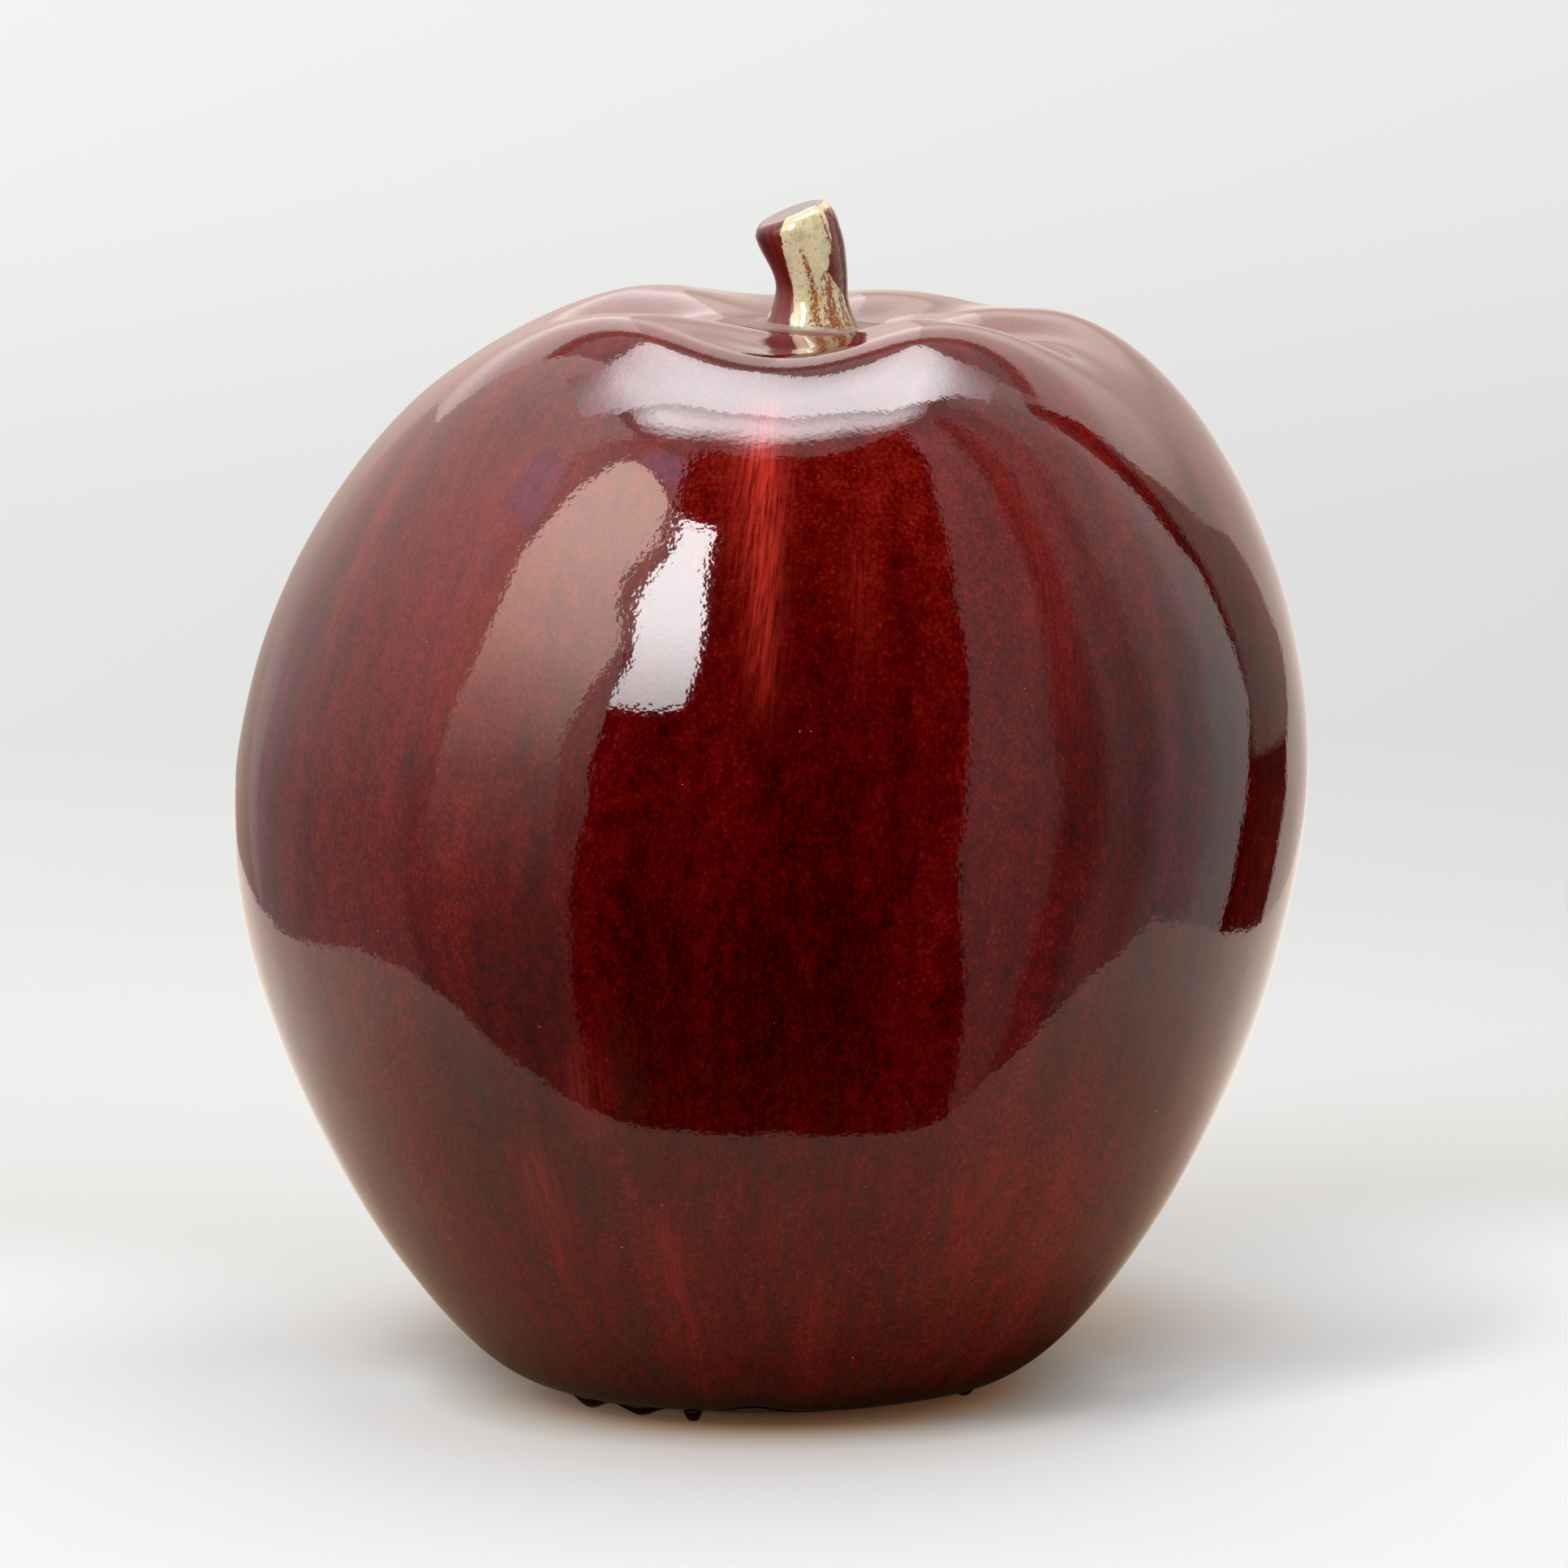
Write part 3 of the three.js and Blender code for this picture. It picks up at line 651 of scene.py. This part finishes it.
def stemGlaze(look):
    material, add = newMaterial("oxblood and celadon stem glaze")
    flow = add("flow")
    patch, rim, rust, cut = (add("mark", attribute_name=mark) for mark in ("patch", "rim", "rust", "cut"))
    streaks = add("noise", add("stretch", flow, scale=cellSize(*look["streaks"])), 1, 4)
    reds = add("mix", add("range", streaks, *look["redSpan"]), look["red"], look["deepRed"])
    rightSide = add("range", add("parts", flow), *look["rightSpan"])
    flecks = add("noise", add("stretch", flow, scale=cellSize(*look["flecks"])), 1, 4, 0.75)
    paleShare = add("times", add("range", flecks, *look["paleSpan"]), rightSide)
    sides = add("mix", paleShare, add("mix", rightSide, reds, look["dull"]), look["olive"])
    sides = add("mix", cut, sides, look["cut"])

    clouds = add("noise", add("stretch", flow, scale=cellSize(*look["clouds"])), 1, 2)
    pale = add("mix", add("range", clouds, *look["cloudSpan"]), look["cream"], look["celadon"])
    tinge = add("range", add("noise", flow, 1 / look["tinge"], 2), *look["tingeSpan"])
    pale = add("mix", tinge, pale, look["olive"])
    wobble = add("noise", flow, 1 / look["wobble"], 2)
    wobbled = add("Mix", look["wobbleShare"], flow, (wobble, "Color"), data_type="VECTOR")
    crackle = add("cells", wobbled, 1 / look["crackleCell"], feature="DISTANCE_TO_EDGE")
    crackle = add("range", crackle, *look["crackleSpan"])
    pale = add("mix", crackle, pale, look["crackle"])
    rusted = add("plus", add("times", rust, look["rustShare"]), flecks)
    pale = add("mix", add("range", rusted, *look["rustSpan"]), pale, look["rust"])

    ragged = add("range", add("noise", flow, 1 / look["ragged"], 3), *look["raggedSpan"])
    patchShare = add("softRange", add("plus", patch, ragged), *look["patchSpan"])
    rimShare = add("range", add("plus", rim, ragged), *look["rimSpan"])
    colour = add("mix", rimShare, add("mix", patchShare, sides, pale), look["rimCream"])
    roughness = add("range", clouds, 0, 1, *look["roughness"])
    finishMaterial(add, colour, roughness, flow, look["waves"], add("times", crackle, look["crackleRise"]))
    return material


# Pool of glaze that ran together in the dimple and climbs the root of the stem. Deep glass over clay,
# it looks darker and milkier than the coat, with a jade tinge in front; the milky grey, strongest where it
# climbs, is partly a painted reflection of the sky.
poolLook = {
    "edge": "#6a0e0a", "deep": "#5a1512", "milky": "#a08a80", "jade": "#a9bfa6", "cloudSize": 4,
    "waves": [(4, 0.006, 1)], "roughnessSpan": (0, 0.14, 0.08, 0.5), "cloudSpan": (0.3, 0.7, 0.3, 1.4),
    "milkSpan": (0.15, 0.7, 0, 0.5),
}
crownPool = {
    "turns": 256, "rows": 56, "bedRows": 8, "radius": 34, "thickness": 0.7, "rise": 2.6, "overlap": 0.4,
    "climb": (0.45, 1.15), "climbPower": 3, "neckInset": 0.05, "proud": 0.01, "fullAt": 0.6,
    "jadeAt": -97, "jadeWidth": 24, "jadeReach": (0.72, 0.95),
}


def makeCrownPool(look):
    angles = turn(look["turns"])
    neck = shaftRing(angles, look["rise"], look["neckInset"])[0]
    shares = np.linspace(0, 1, look["rows"])
    innerRadius = stemForm["rootRadius"] - look["overlap"]
    climbs = smoothstep(shares, *look["climb"]) ** look["climbPower"]
    surface = []
    for share, climb in zip(shares, climbs / climbs[-1]):
        radius = look["radius"] + (innerRadius - look["radius"]) * share
        swell = float(smoothstep(share, 0, look["fullAt"]))
        base = rootRing(angles, radius, -look["proud"] - look["thickness"] * swell)
        surface.append(base + (neck - base) * climb)
    bedRadii = np.linspace(innerRadius, look["radius"], look["bedRows"])
    bed = [rootRing(angles, radius, coats["gap"]) for radius in bedRadii]
    inward = np.concatenate([shares, np.linspace(1, 0, len(bed))])[:, None] * np.ones(len(angles))
    front = bell(np.degrees(angles), look["jadeAt"], look["jadeWidth"])
    marks = {"inward": inward, "jade": smoothstep(inward, *look["jadeReach"]) * front}
    return ringMesh("crownPoolGlaze", np.concatenate([surface, bed]), marks=marks)


def poolGlaze(look):
    material, add = newMaterial("pooled oxblood glaze")
    inward, jade = (add("mark", attribute_name=mark) for mark in ("inward", "jade"))
    place = placeInMillimetres(add)
    clouds = add("noise", place, 1 / look["cloudSize"], 4)
    cloudShift = add("range", clouds, *look["cloudSpan"])
    # milky grey towards the stem, partly a painted reflection of the sky where the pool climbs
    milkAndReflection = add("times", add("range", inward, *look["milkSpan"]), cloudShift, use_clamp=True)
    colour = add("mix", milkAndReflection, add("mix", clouds, look["edge"], look["deep"]), look["milky"])
    colour = add("mix", add("times", jade, cloudShift, use_clamp=True), colour, look["jade"])
    roughness = add("range", inward, *look["roughnessSpan"])
    finishMaterial(add, colour, roughness, place, look["waves"])
    return material


# The foot: a turned ring of bare clay with rounded edges, ground flat underneath
footRing = {
    "turns": 288, "outer": 58, "inner": 45, "top": 6.198, "bevel": 1.5,
    "bevelRows": 7, "wallRows": 8, "topRows": 5, "faceRows": 16,
}


def makeFootRing(look):
    outer, inner, top, bevel = (look[name] for name in ("outer", "inner", "top", "bevel"))
    bend = np.linspace(0, math.pi / 2, look["bevelRows"])
    inward, height = bevel * (1 - np.sin(bend)), bevel * (1 - np.cos(bend))
    outline = np.concatenate([
        np.stack([outer - inward, height], 1),
        np.linspace((outer, bevel), (outer, top), look["wallRows"])[1:],
        np.linspace((outer, top), (inner, top), look["topRows"])[1:],
        np.linspace((inner, top), (inner, bevel), look["wallRows"])[1:],
        np.stack([inner + inward, height], 1)[::-1][1:],
        np.linspace((inner + bevel, 0), (outer - bevel, 0), look["faceRows"])[1:-1],
    ])
    return ringMesh("turnedFoot", roundPoints(outline[:, :1], turn(look["turns"]), outline[:, 1:]))


# Bare stoneware: a buff body fired in reduction, so it is dry and matt, toasted where the kiln's
# flame reached it, and peppered with iron that melted through.
stonewareLook = {
    "buff": "#b3977a", "toast": "#8d5f3e", "pale": "#c9b294", "iron": "#3a2216",
    "toastClouds": 28, "toastSpan": (0.45, 0.7, 0, 0.7), "grain": 0.9, "grainHeight": 0.06,
    "paleSpan": (0.45, 0.75, 0, 0.6), "roughness": (0.72, 0.95),
    "ironSpots": (2.6, 0.5, 0.2, 0.05, 0.85),  # as the glaze's specks
}


def bareStoneware(look):
    material, add = newMaterial("bare buff stoneware")
    place = placeInMillimetres(add)
    toast = add("range", add("noise", place, 1 / look["toastClouds"], 3), *look["toastSpan"])
    grain = add("noise", place, 1 / look["grain"], 4, 0.7)
    colour = add("mix", toast, look["buff"], look["toast"])
    colour = add("mix", add("range", grain, *look["paleSpan"]), colour, look["pale"])
    colour = add("mix", dots(add, place, *look["ironSpots"]), colour, look["iron"])
    roughness = add("range", grain, 0, 1, *look["roughness"])
    finishMaterial(add, colour, roughness, place, [], add("times", grain, look["grainHeight"]))
    return material


clay = bareStoneware(stonewareLook)
for node in ("lower_shell", "upper_shell", "seam_coil", "stem_core", "stem_clench"):
    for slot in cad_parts[node].material_slots:
        slot.material = clay
finishPiece(makeGlazeCoat(glazeCoat), oxbloodGlaze(oxbloodLook), "body_glaze")
finishPiece(makeGlazeEdge(glazeEdge), edgeGlaze(edgeLook), "glaze_roll")
finishPiece(makeStemCoat(stemCoat), stemGlaze(stemLook), "stem_glaze")
finishPiece(makeCrownPool(crownPool), poolGlaze(poolLook), "crown_pool")
finishPiece(makeFootRing(footRing), clay, "foot_ring")

# Studio: a pale floor that melts into a pale surround
floorLook = {
    "size": 8.0, "melt": (0.7, 2.0), "reach": 0.6,  # metres; reach is how far the tables go
    # distance from the middle and the paper's colour there, darkened near the foot by painted shade, warmed
    # by the clay and glaze
    "tones": [(0.07, "#a5713f"), (0.084, "#c39a70"), (0.098, "#d8c4ab"), (0.125, "#ece7df"),
              (0.17, "#f4f4f2")],
    # painted light, which the camera alone sees on the paper in place of light from the rest of the room:
    # warm bounce under the lip; at the left and at the right, by distance; and soft places, as x, y, reach
    # and level
    "under": [(0.05, "#000000"), (0.068, "#4a2f1b"), (0.084, "#48321e"), (0.1, "#000000")],
    "sides": [(0.07, 0.04, 0), (0.086, 0.13, 0.03), (0.1, 0.19, 0.09), (0.126, 0.27, 0.19),
              (0.16, 0.2, 0.23), (0.2, 0.14, 0.21), (0.28, 0.08, 0.11), (0.45, 0.06, 0.08)],
    "frontShare": 0.3, "backFade": 1.25,
    "places": [(0.34, 0.22, 0.25, 0.24), (-0.34, 0.18, 0.22, 0.14), (-0.5, 1.3, 1.3, 0.16),
               (0.6, 1.3, 1.2, 0.08)],
    "roomTone": "#e9f6ff",
    # painted shade, darker and warmer, on the paper behind the body in a round place: x, y, inner and outer
    # radius
    "behind": (0.02, 0.12, 0.06, 0.2), "behindTone": "#e2cdb8",
}


def makeFloor(look):
    half = look["size"] / 2
    mesh = bpy.data.meshes.new("studioFloor")
    corners = [(-half, -half, 0), (half, -half, 0), (half, half, 0), (-half, half, 0)]
    mesh.from_pydata(corners, [], [(0, 1, 2, 3)])
    floor = placeObject("studioFloor", mesh)
    material, add = newMaterial("pale paper floor")
    place = add("place")
    away = add("VectorMath", place, operation="LENGTH")
    share = add("Math", away, look["reach"], operation="DIVIDE")
    hidden = add("larger", add("softRange", away, *look["melt"]), (add("NewGeometry"), "Backfacing"))
    tables = [[(row[0] / look["reach"], row[1]) for row in look[name]] for name in ("tones", "under")]
    # painted shade around the foot, and the painted glow under the lip
    paintedShade, under = (add("ramp", share, stops=stops) for stops in tables)
    # painted shade on the paper behind the body
    x, y, inner, outer = look["behind"]
    outsideShadeShare = add("softRange", add("distance", place, (x, y, 0)), inner, outer)
    shadedPaper = add("mix", 1, paintedShade, add("mix", outsideShadeShare, look["behindTone"], "#ffffff"), blend_type="MULTIPLY")

    # painted light beside the body, by distance and side
    parts = add("parts", add("VectorMath", place, operation="NORMALIZE"))
    beside = add("range", add("times", parts, parts), 0, 1, look["frontShare"])
    ahead = add("range", (parts, "Y"), 0, 1 / look["backFade"], 1, 0)
    stops = [(distance / look["reach"], (left, right, 0, 1)) for distance, left, right in look["sides"]]
    both = add("SeparateColor", add("ramp", share, stops=stops))
    paintedSideLight = add("Mix", add("range", parts, -1), (both, "Red"), (both, "Green"))
    level = add("times", add("times", paintedSideLight, beside), ahead)
    for x, y, reach, most in look["places"]:
        soft = add("softRange", add("distance", place, (x, y, 0)), 0, reach, most, 0)
        level = add("plus", level, soft)
    glow = add("mix", 1, under, add("mix", level, "#000000", look["roomTone"]), blend_type="ADD")
    # the painted light glows for the camera alone
    pale = add("Emission", glow, (add("LightPath"), "Is Camera Ray"))
    bright = add("AddShader", add("BsdfDiffuse", shadedPaper), pale)
    add("OutputMaterial", add("MixShader", hidden, bright, add("BsdfTransparent")))
    mesh.materials.append(material)
    floor.visible_glossy = False  # the gloss sees paperCard instead


# The surround that the camera and the gloss see, as height above the horizon in degrees and its colour
surround = {
    "stops": [(-30, "#f3f3f2"), (-9, "#f0f0ee"), (-6.5, "#ebebea"), (-5, "#e2e2e1"), (-3, "#e4e4e4"),
              (0, "#eeeeed"), (1.6, "#f1f1ef"), (30, "#f0f0ef"), (90, "#f0f0ef")],
    "sides": (-0.13, 0.13, 1.03, 0.94),  # it grows a little darker towards the right
    "ambient": 0.4, "ambientColour": "#fffaf5",
}


def makeSurround(look):
    world = bpy.data.worlds.new("studioSurround")
    bpy.context.scene.world = world
    world.use_nodes = True
    world.node_tree.nodes.clear()
    add = partial(addNode, world.node_tree)
    parts = add("parts", (add("TexCoord"), "Generated"))
    stops = [((math.sin(math.radians(degrees)) + 1) / 2, colour) for degrees, colour in look["stops"]]
    shade = add("ramp", add("range", (parts, "Z"), -1, 1), stops=stops)
    light = add("LightPath")
    seen = add("larger", (light, "Is Camera Ray"), (light, "Is Glossy Ray"))
    seen = add("larger", seen, (light, "Is Transmission Ray"))
    pale = add("Background", shade, add("range", parts, *look["sides"]))
    ambient = add("Background", look["ambientColour"], look["ambient"])
    add("OutputWorld", add("MixShader", seen, ambient, pale))


# Directions are azimuths from the front towards the right, and heights above the horizon, in degrees
def towards(azimuth, elevation, distance=1.0, centre=(0, 0, 0.21)):
    a, e = math.radians(azimuth), math.radians(elevation)
    way = Vector((math.sin(a) * math.cos(e), -math.cos(a) * math.cos(e), math.sin(e)))
    return Vector(centre) + way * distance


def aimed(place, right, up, back):
    return Matrix.Translation(place) @ Matrix((right, up, back)).transposed().to_4x4()


# Lamps, which only light the object: a tall window to the left of the camera, a soft light on each side
# and one overhead. Each is its lower and upper end, as azimuth, height and distance, then its width, its
# level, where 1 is a white face, and its colour.
lamps = {
    "windowLight": ((-28.8, 25, 2.0), (-28.8, 61, 6.5), 0.55, 9.5, "#f2f8ff"),
    "leftLight": ((-58, 8, 2.6), (-58, 58, 2.6), 1.4, 0.75, "#fff1e6"),
    "rightLight": ((52, 8, 2.6), (52, 50, 2.6), 1.8, 1.1, "#fbf8ff"),
    "overheadLight": ((170, 62, 2.6), (0, 80, 2.6), 1.8, 1.3, "#ffffff"),
}


def makeLamp(name, bottom, top, width, level, colour):
    low, high = towards(*bottom), towards(*top)
    middle = (low + high) / 2
    up = (high - low).normalized()
    back = middle - towards(0, 0, 0)
    back = (back - up * back.dot(up)).normalized()
    data = bpy.data.lights.new(name, "AREA")
    data.shape = "RECTANGLE"
    data.size = width
    data.size_y = (high - low).length
    data.color = linear(colour)[:3]
    data.energy = level * 4 * data.size * data.size_y  # 4 turns a face's brightness into watts
    lamp = placeObject(name, data)
    lamp.matrix_world = aimed(middle, up.cross(back), up, back)
    lamp.visible_camera = False
    lamp.visible_glossy = False  # the gloss sees the cards instead


# Cards that only the gloss sees, far off: the window, softboxes, dull walls and dark flags. Rows are a
# height above the horizon, the azimuths of the card's two edges there, and its level. "across" changes
# that level from side to side, as azimuths with a share each.
cards = {
    "frontFlag": {"colour": "#ffffff", "rows": [
        (-89, -60, 60, 0), (-48, -54, 56, 0), (-45, -50, 53, 0), (-38, -46, 49, 0), (-32, -45, 47, 0),
        (-22, -43, 43, 0), (-10, -41, 40, 0), (4, -37.5, 40.5, 0), (15, -39, 41, 0), (35, -37, 42, 0),
        (62, -35, 42, 0), (78, -40, 44, 0)
    ]},
    "leftSoftbox": {"colour": "#ffe4d6", "rows": [
        (-89, -75, -61, 0.1), (-45, -75, -51, 0.15), (-38, -75, -47, 0.2), (-30, -75, -46, 0.25),
        (-22, -75, -45, 0.3), (-12, -75, -45, 0.4), (0, -75, -46, 0.8), (12, -75, -47.5, 1.3),
        (19, -75, -48, 2.4), (27, -74.5, -44.5, 4.2), (32, -74, -41.5, 5.6), (37, -74, -39, 6.5),
        (42, -73.6, -40.5, 7.4), (48, -71, -41.5, 8.4), (52, -69, -39.5, 9), (56, -66.5, -37, 9.2),
        (62, -62.5, -37, 9.2), (65, -60, -42, 9), (66.5, -57, -48, 8)
    ]},
    "softboxHalo": {"colour": "#ffe6dc", "distance": 7.3, "rows": [
        (-89, -84, -31, 0.1), (-41, -84, -31, 0.15), (-14, -83, -36, 0.35), (4, -82, -38, 0.6),
        (19, -82, -38, 1.2), (33, -81, -34, 1.7), (52, -79, -33, 2), (62, -76, -33, 2), (72, -66, -39, 1.4),
        (74, -60, -44, 1)
    ]},
    "leftWall": {"colour": "#f3e9e4", "distance": 7.6, "rows": [
        (-89, -142, -76, 0.2), (-10, -142, -76, 0.5), (0, -142, -76, 0.6), (20, -142, -76, 1.25),
        (45, -142, -70, 2.2), (62, -142, -60, 2.8), (72, -142, -60, 3)
    ]},
    "backLeftWall": {"colour": "#f9efec", "dimColour": "#f8dcc4", "rows": [
        (-89, -180, -142, 0.3), (-10, -180, -143, 0.5), (0, -180, -150, 0.66), (5, -180, -154, 0.85),
        (12, -180, -156, 1.15), (20, -180, -154, 1.5), (26, -180, -142, 2.7), (34, -180, -142, 2.3),
        (47, -180, -142, 2.4), (49, -180, -142, 0.5), (54, -180, -142, 0.5)
    ]},
    # beside the back wall, so that its edge is crisp
    "leftMargin": {"colour": "#f3e9e4", "distance": 7.3, "rows": [
        (-10, -156, -140, 0.65), (0, -156, -140, 0.8), (20, -158, -140, 1.15), (26, -158, -140, 1.5)
    ]},
    "rightWall": {"colour": "#efe8e2", "distance": 7.6, "rows": [
        (-89, 40, 121, 0.3), (-10, 38, 121, 0.9), (5, 38, 121, 1.2), (20, 38, 121, 1.35),
        (45, 38, 121, 1.5), (62, 38, 121, 2), (74, 38, 121, 2.3)
    ], "across": [
        (38, 0.55), (60, 0.5), (63, 0.16), (71, 0.2), (75, 0.5), (84, 0.42), (90, 0.75), (104, 0.9),
        (108, 1.15), (121, 1.1)
    ]},
    "rightSlit": {"colour": "#fff0dc", "distance": 7.3, "rows": [
        (-89, 118, 143, 0), (-4, 119, 141, 0.02), (-2.5, 119.5, 141, 0.02), (-1.2, 120, 142, 0.34),
        (4, 122, 146, 0.42), (14, 120, 140, 0.46), (19, 119.5, 133, 0.5), (28, 115, 127, 0.5),
        (40, 112, 122, 0.5), (52, 108, 114, 0.5)
    ], "across": [
        (112, 0.5), (118, 0.06), (121.5, 0.06), (123.5, 1), (148, 1)
    ]},
    "backRightWall": {"colour": "#f9efea", "dimColour": "#ffe8d4", "distance": 7.6, "rows": [
        (-89, 120, 180, 0.3), (-10, 120, 180, 0.9), (0, 120, 180, 1.15), (12, 120, 180, 1),
        (20, 120, 180, 1), (24, 110, 180, 1.6), (30, 110, 180, 2), (36, 110, 180, 1.7), (47, 110, 180, 1.9),
        (49, 110, 180, 0.5), (54, 110, 180, 0.5)
    ]},
    "blueHaze": {"colour": "#dddcee", "distance": 7.2, "rows": [
        (44, -90, -76, 2.2), (47, -91, -75, 2.6), (53, -90, -74, 2.8), (56, -88, -73, 2.6)
    ]},
    "windowHaze": {"colour": "#cfd0f0", "distance": 7.1, "rows": [
        (66, -55, -37, 1.8), (68, -56, -36, 2.6), (72, -56, -38, 2.4), (74, -54, -42, 1.4)
    ]},
    "window": {"colour": "#fdfdff", "distance": 5, "rows": [
        (25.2, -37.6, -20.5, 9.5), (31, -36, -19.8, 12.5), (34, -35, -20, 14.5), (42, -36.8, -20.8, 19),
        (48, -36, -22, 20), (53, -34, -22.8, 20), (61, -33, -24.2, 20)
    ]},
}


# A grid of points that only the gloss sees, and that glows as brightly as its mark says
def glowingGrid(name, points, levels, colour, dimColour=None):
    index = np.arange(levels.size).reshape(levels.shape)
    faces = np.stack([index[:-1, :-1], index[:-1, 1:], index[1:, 1:], index[1:, :-1]], -1).reshape(-1, 4)
    mesh = bpy.data.meshes.new(name)
    mesh.from_pydata(points.reshape(-1, 3).tolist(), [], faces.tolist())
    mesh.attributes.new("level", "FLOAT", "POINT").data.foreach_set("value", levels.ravel())
    material, add = newMaterial(name + " glow")
    level = add("mark", attribute_name="level")
    tint = add("mix", add("range", level, 0, 2 if dimColour else 1), dimColour or colour, colour)
    add("OutputMaterial", add("Emission", tint, level))
    mesh.materials.append(material)
    card = placeObject(name, mesh)
    for ray in ("camera", "diffuse", "transmission", "shadow", "volume_scatter"):
        setattr(card, "visible_" + ray, False)


def makeCard(name, look, step=1.5):
    heights, left, right, values = np.array(look["rows"], float).T
    rows = np.unique(np.concatenate([np.arange(heights[0], heights[-1], step), heights]))
    left, right, values = (np.interp(rows, heights, v)[:, None] for v in (left, right, values))
    shares = np.linspace(0, 1, int(np.ptp([left.min(), right.max()]) / step) + 2)
    azimuths = left + (right - left) * shares
    points = np.array([[towards(a, min(e, 89.9), look.get("distance", 7)) for a in row]
                       for e, row in zip(rows, azimuths)])
    levels = values * alongTable(azimuths, look.get("across", [(0, 1)]))
    glowingGrid(name, points, levels, look["colour"], look.get("dimColour"))


# What the gloss sees of the paper: it ends at the edge of the table, and the apple's shade is painted into
# its glow, warm near it
paperCard = {
    # places of its front edge from left to right, in metres
    "front": [(-0.72, 0.56), (-0.68, 0.45), (-0.643, 0.2), (-0.6, -0.01), (-0.49, -0.14), (-0.36, -0.2),
              (-0.23, -0.218), (-0.12, -0.229), (-0.05, -0.24), (0.01, -0.248), (0.07, -0.238),
              (0.115, -0.222), (0.14, -0.217), (0.3, -0.219), (0.4, -0.197), (0.58, -0.1)],
    "back": 2.5, "height": 0.0002, "step": 0.012, "rows": 90, "colour": "#ffffff", "nearColour": "#ffd6a6",
    # the middle of the painted shade, and distances from it with how bright the paper glows there, in
    # millimetres
    "shade": (20, 10), "levels": [(0, 0.01), (90, 0.02), (120, 0.11), (150, 0.3), (200, 0.5), (240, 0.62),
                                  (330, 0.86), (450, 1.1), (600, 1.2)],
}


def makePaperCard(look):
    left, right = look["front"][0][0], look["front"][-1][0]
    x = np.arange(left, right + look["step"], look["step"])[None]
    start = alongTable(x, look["front"])
    shares = np.linspace(0, 1, look["rows"])[:, None] ** 2
    x, y = np.broadcast_arrays(x, start + (look["back"] - start) * shares)
    shadeX, shadeY = (v * millimetre for v in look["shade"])
    # painted shade: the paper's glow is dimmer and warmer near the apple
    levels = alongTable(np.hypot(x - shadeX, y - shadeY) / millimetre, look["levels"])
    glowingGrid("paperCard", np.stack([x, y, np.full_like(x, look["height"])], -1), levels, look["colour"],
                look["nearColour"])


# A bright ceiling panel that only the gloss sees, with a dimmer strip in front of it. Places are in shares
# of its height over the crown; the levels go from the panel's wavy front edge backwards or forwards.
ceilingCard = {
    "height": 6.0, "colour": "#f8f7fb", "columns": 100, "rows": 24,
    "frontEdge": [(-0.6, 0.0), (-0.28, 0.02), (-0.08, 0.085), (-0.045, 0.05), (0.08, -0.03), (0.3, 0.05),
                  (0.6, 0.1)],
    "panel": {
        "width": (-0.46, 0.48),
        "edge": [(-0.46, 0.3), (-0.3, 0.27), (-0.14, 0.4), (0, 0.66), (0.05, 0.6), (0.15, 0.42),
                 (0.3, 0.32), (0.48, 0.36)],
        "levels": [(0, 14), (0.3, 13), (0.65, 9), (1, 5.5)],
        "sides": [(-0.46, 0.24), (-0.36, 0.34), (-0.28, 0.55), (-0.2, 0.84), (-0.12, 0.88), (0.02, 1),
                  (0.12, 1.1), (0.2, 0.85), (0.28, 0.5), (0.38, 0.3), (0.48, 0.22)],
    },
    "strip": {
        "width": (-0.27, 0.2),
        "edge": [(-0.27, -0.1), (-0.23, -0.125), (-0.12, -0.12), (-0.037, -0.115), (0.115, -0.152),
                 (0.2, -0.12)],
        "levels": [(0, 5.5), (0.12, 6.5), (0.4, 9.5), (0.6, 9.5), (0.85, 4), (1, 1.5)],
        "sides": [(-0.27, 0.3), (-0.23, 0.9), (-0.17, 1.45), (-0.1, 1.3), (-0.02, 1.05), (0.1, 1.05),
                  (0.15, 0.8), (0.2, 0.25)],
    },
}


def makeCeilingCard(look):
    shares = np.linspace(0, 1, look["rows"])[:, None]
    for name in ("panel", "strip"):
        part = look[name]
        x = np.linspace(*part["width"], look["columns"])[None]
        start = alongTable(x, look["frontEdge"])
        y = start + (alongTable(x, part["edge"]) - start) * shares
        levels = alongTable(shares, part["levels"]) * alongTable(x, part["sides"])
        points = np.stack([*np.broadcast_arrays(x, y), np.ones_like(y)], -1) * look["height"]
        glowingGrid(name + "Ceiling", points, levels, look["colour"])


photoView = {
    "place": (0, -2.220, 0.4182), "aim": (0.0069, 0, 0.2097), "roll": -0.003, "lens": 147.84, "sensor": 36,
    "nearest": 0.05,
}


def makeCamera(look):
    data = bpy.data.cameras.new("photoView")
    data.lens = look["lens"]
    data.sensor_width = look["sensor"]
    data.clip_start = look["nearest"]
    place = Vector(look["place"])
    ahead = (Vector(look["aim"]) - place).normalized()
    right = ahead.cross(Vector((0, 0, 1))).normalized()
    up = right.cross(ahead)
    cosRoll, sinRoll = math.cos(look["roll"]), math.sin(look["roll"])
    right, up = right * cosRoll + up * sinRoll, up * cosRoll - right * sinRoll
    camera = placeObject("photoView", data)
    camera.matrix_world = aimed(place, right, up, -ahead)
    bpy.context.scene.camera = camera


makeFloor(floorLook)
makeSurround(surround)
for lampName, lampLook in lamps.items():
    makeLamp(lampName, *lampLook)
for cardName, cardLook in cards.items():
    makeCard(cardName, cardLook)
makePaperCard(paperCard)
makeCeilingCard(ceilingCard)
makeCamera(photoView)
bpy.context.scene.view_settings.view_transform = "Standard"
print("studio set")
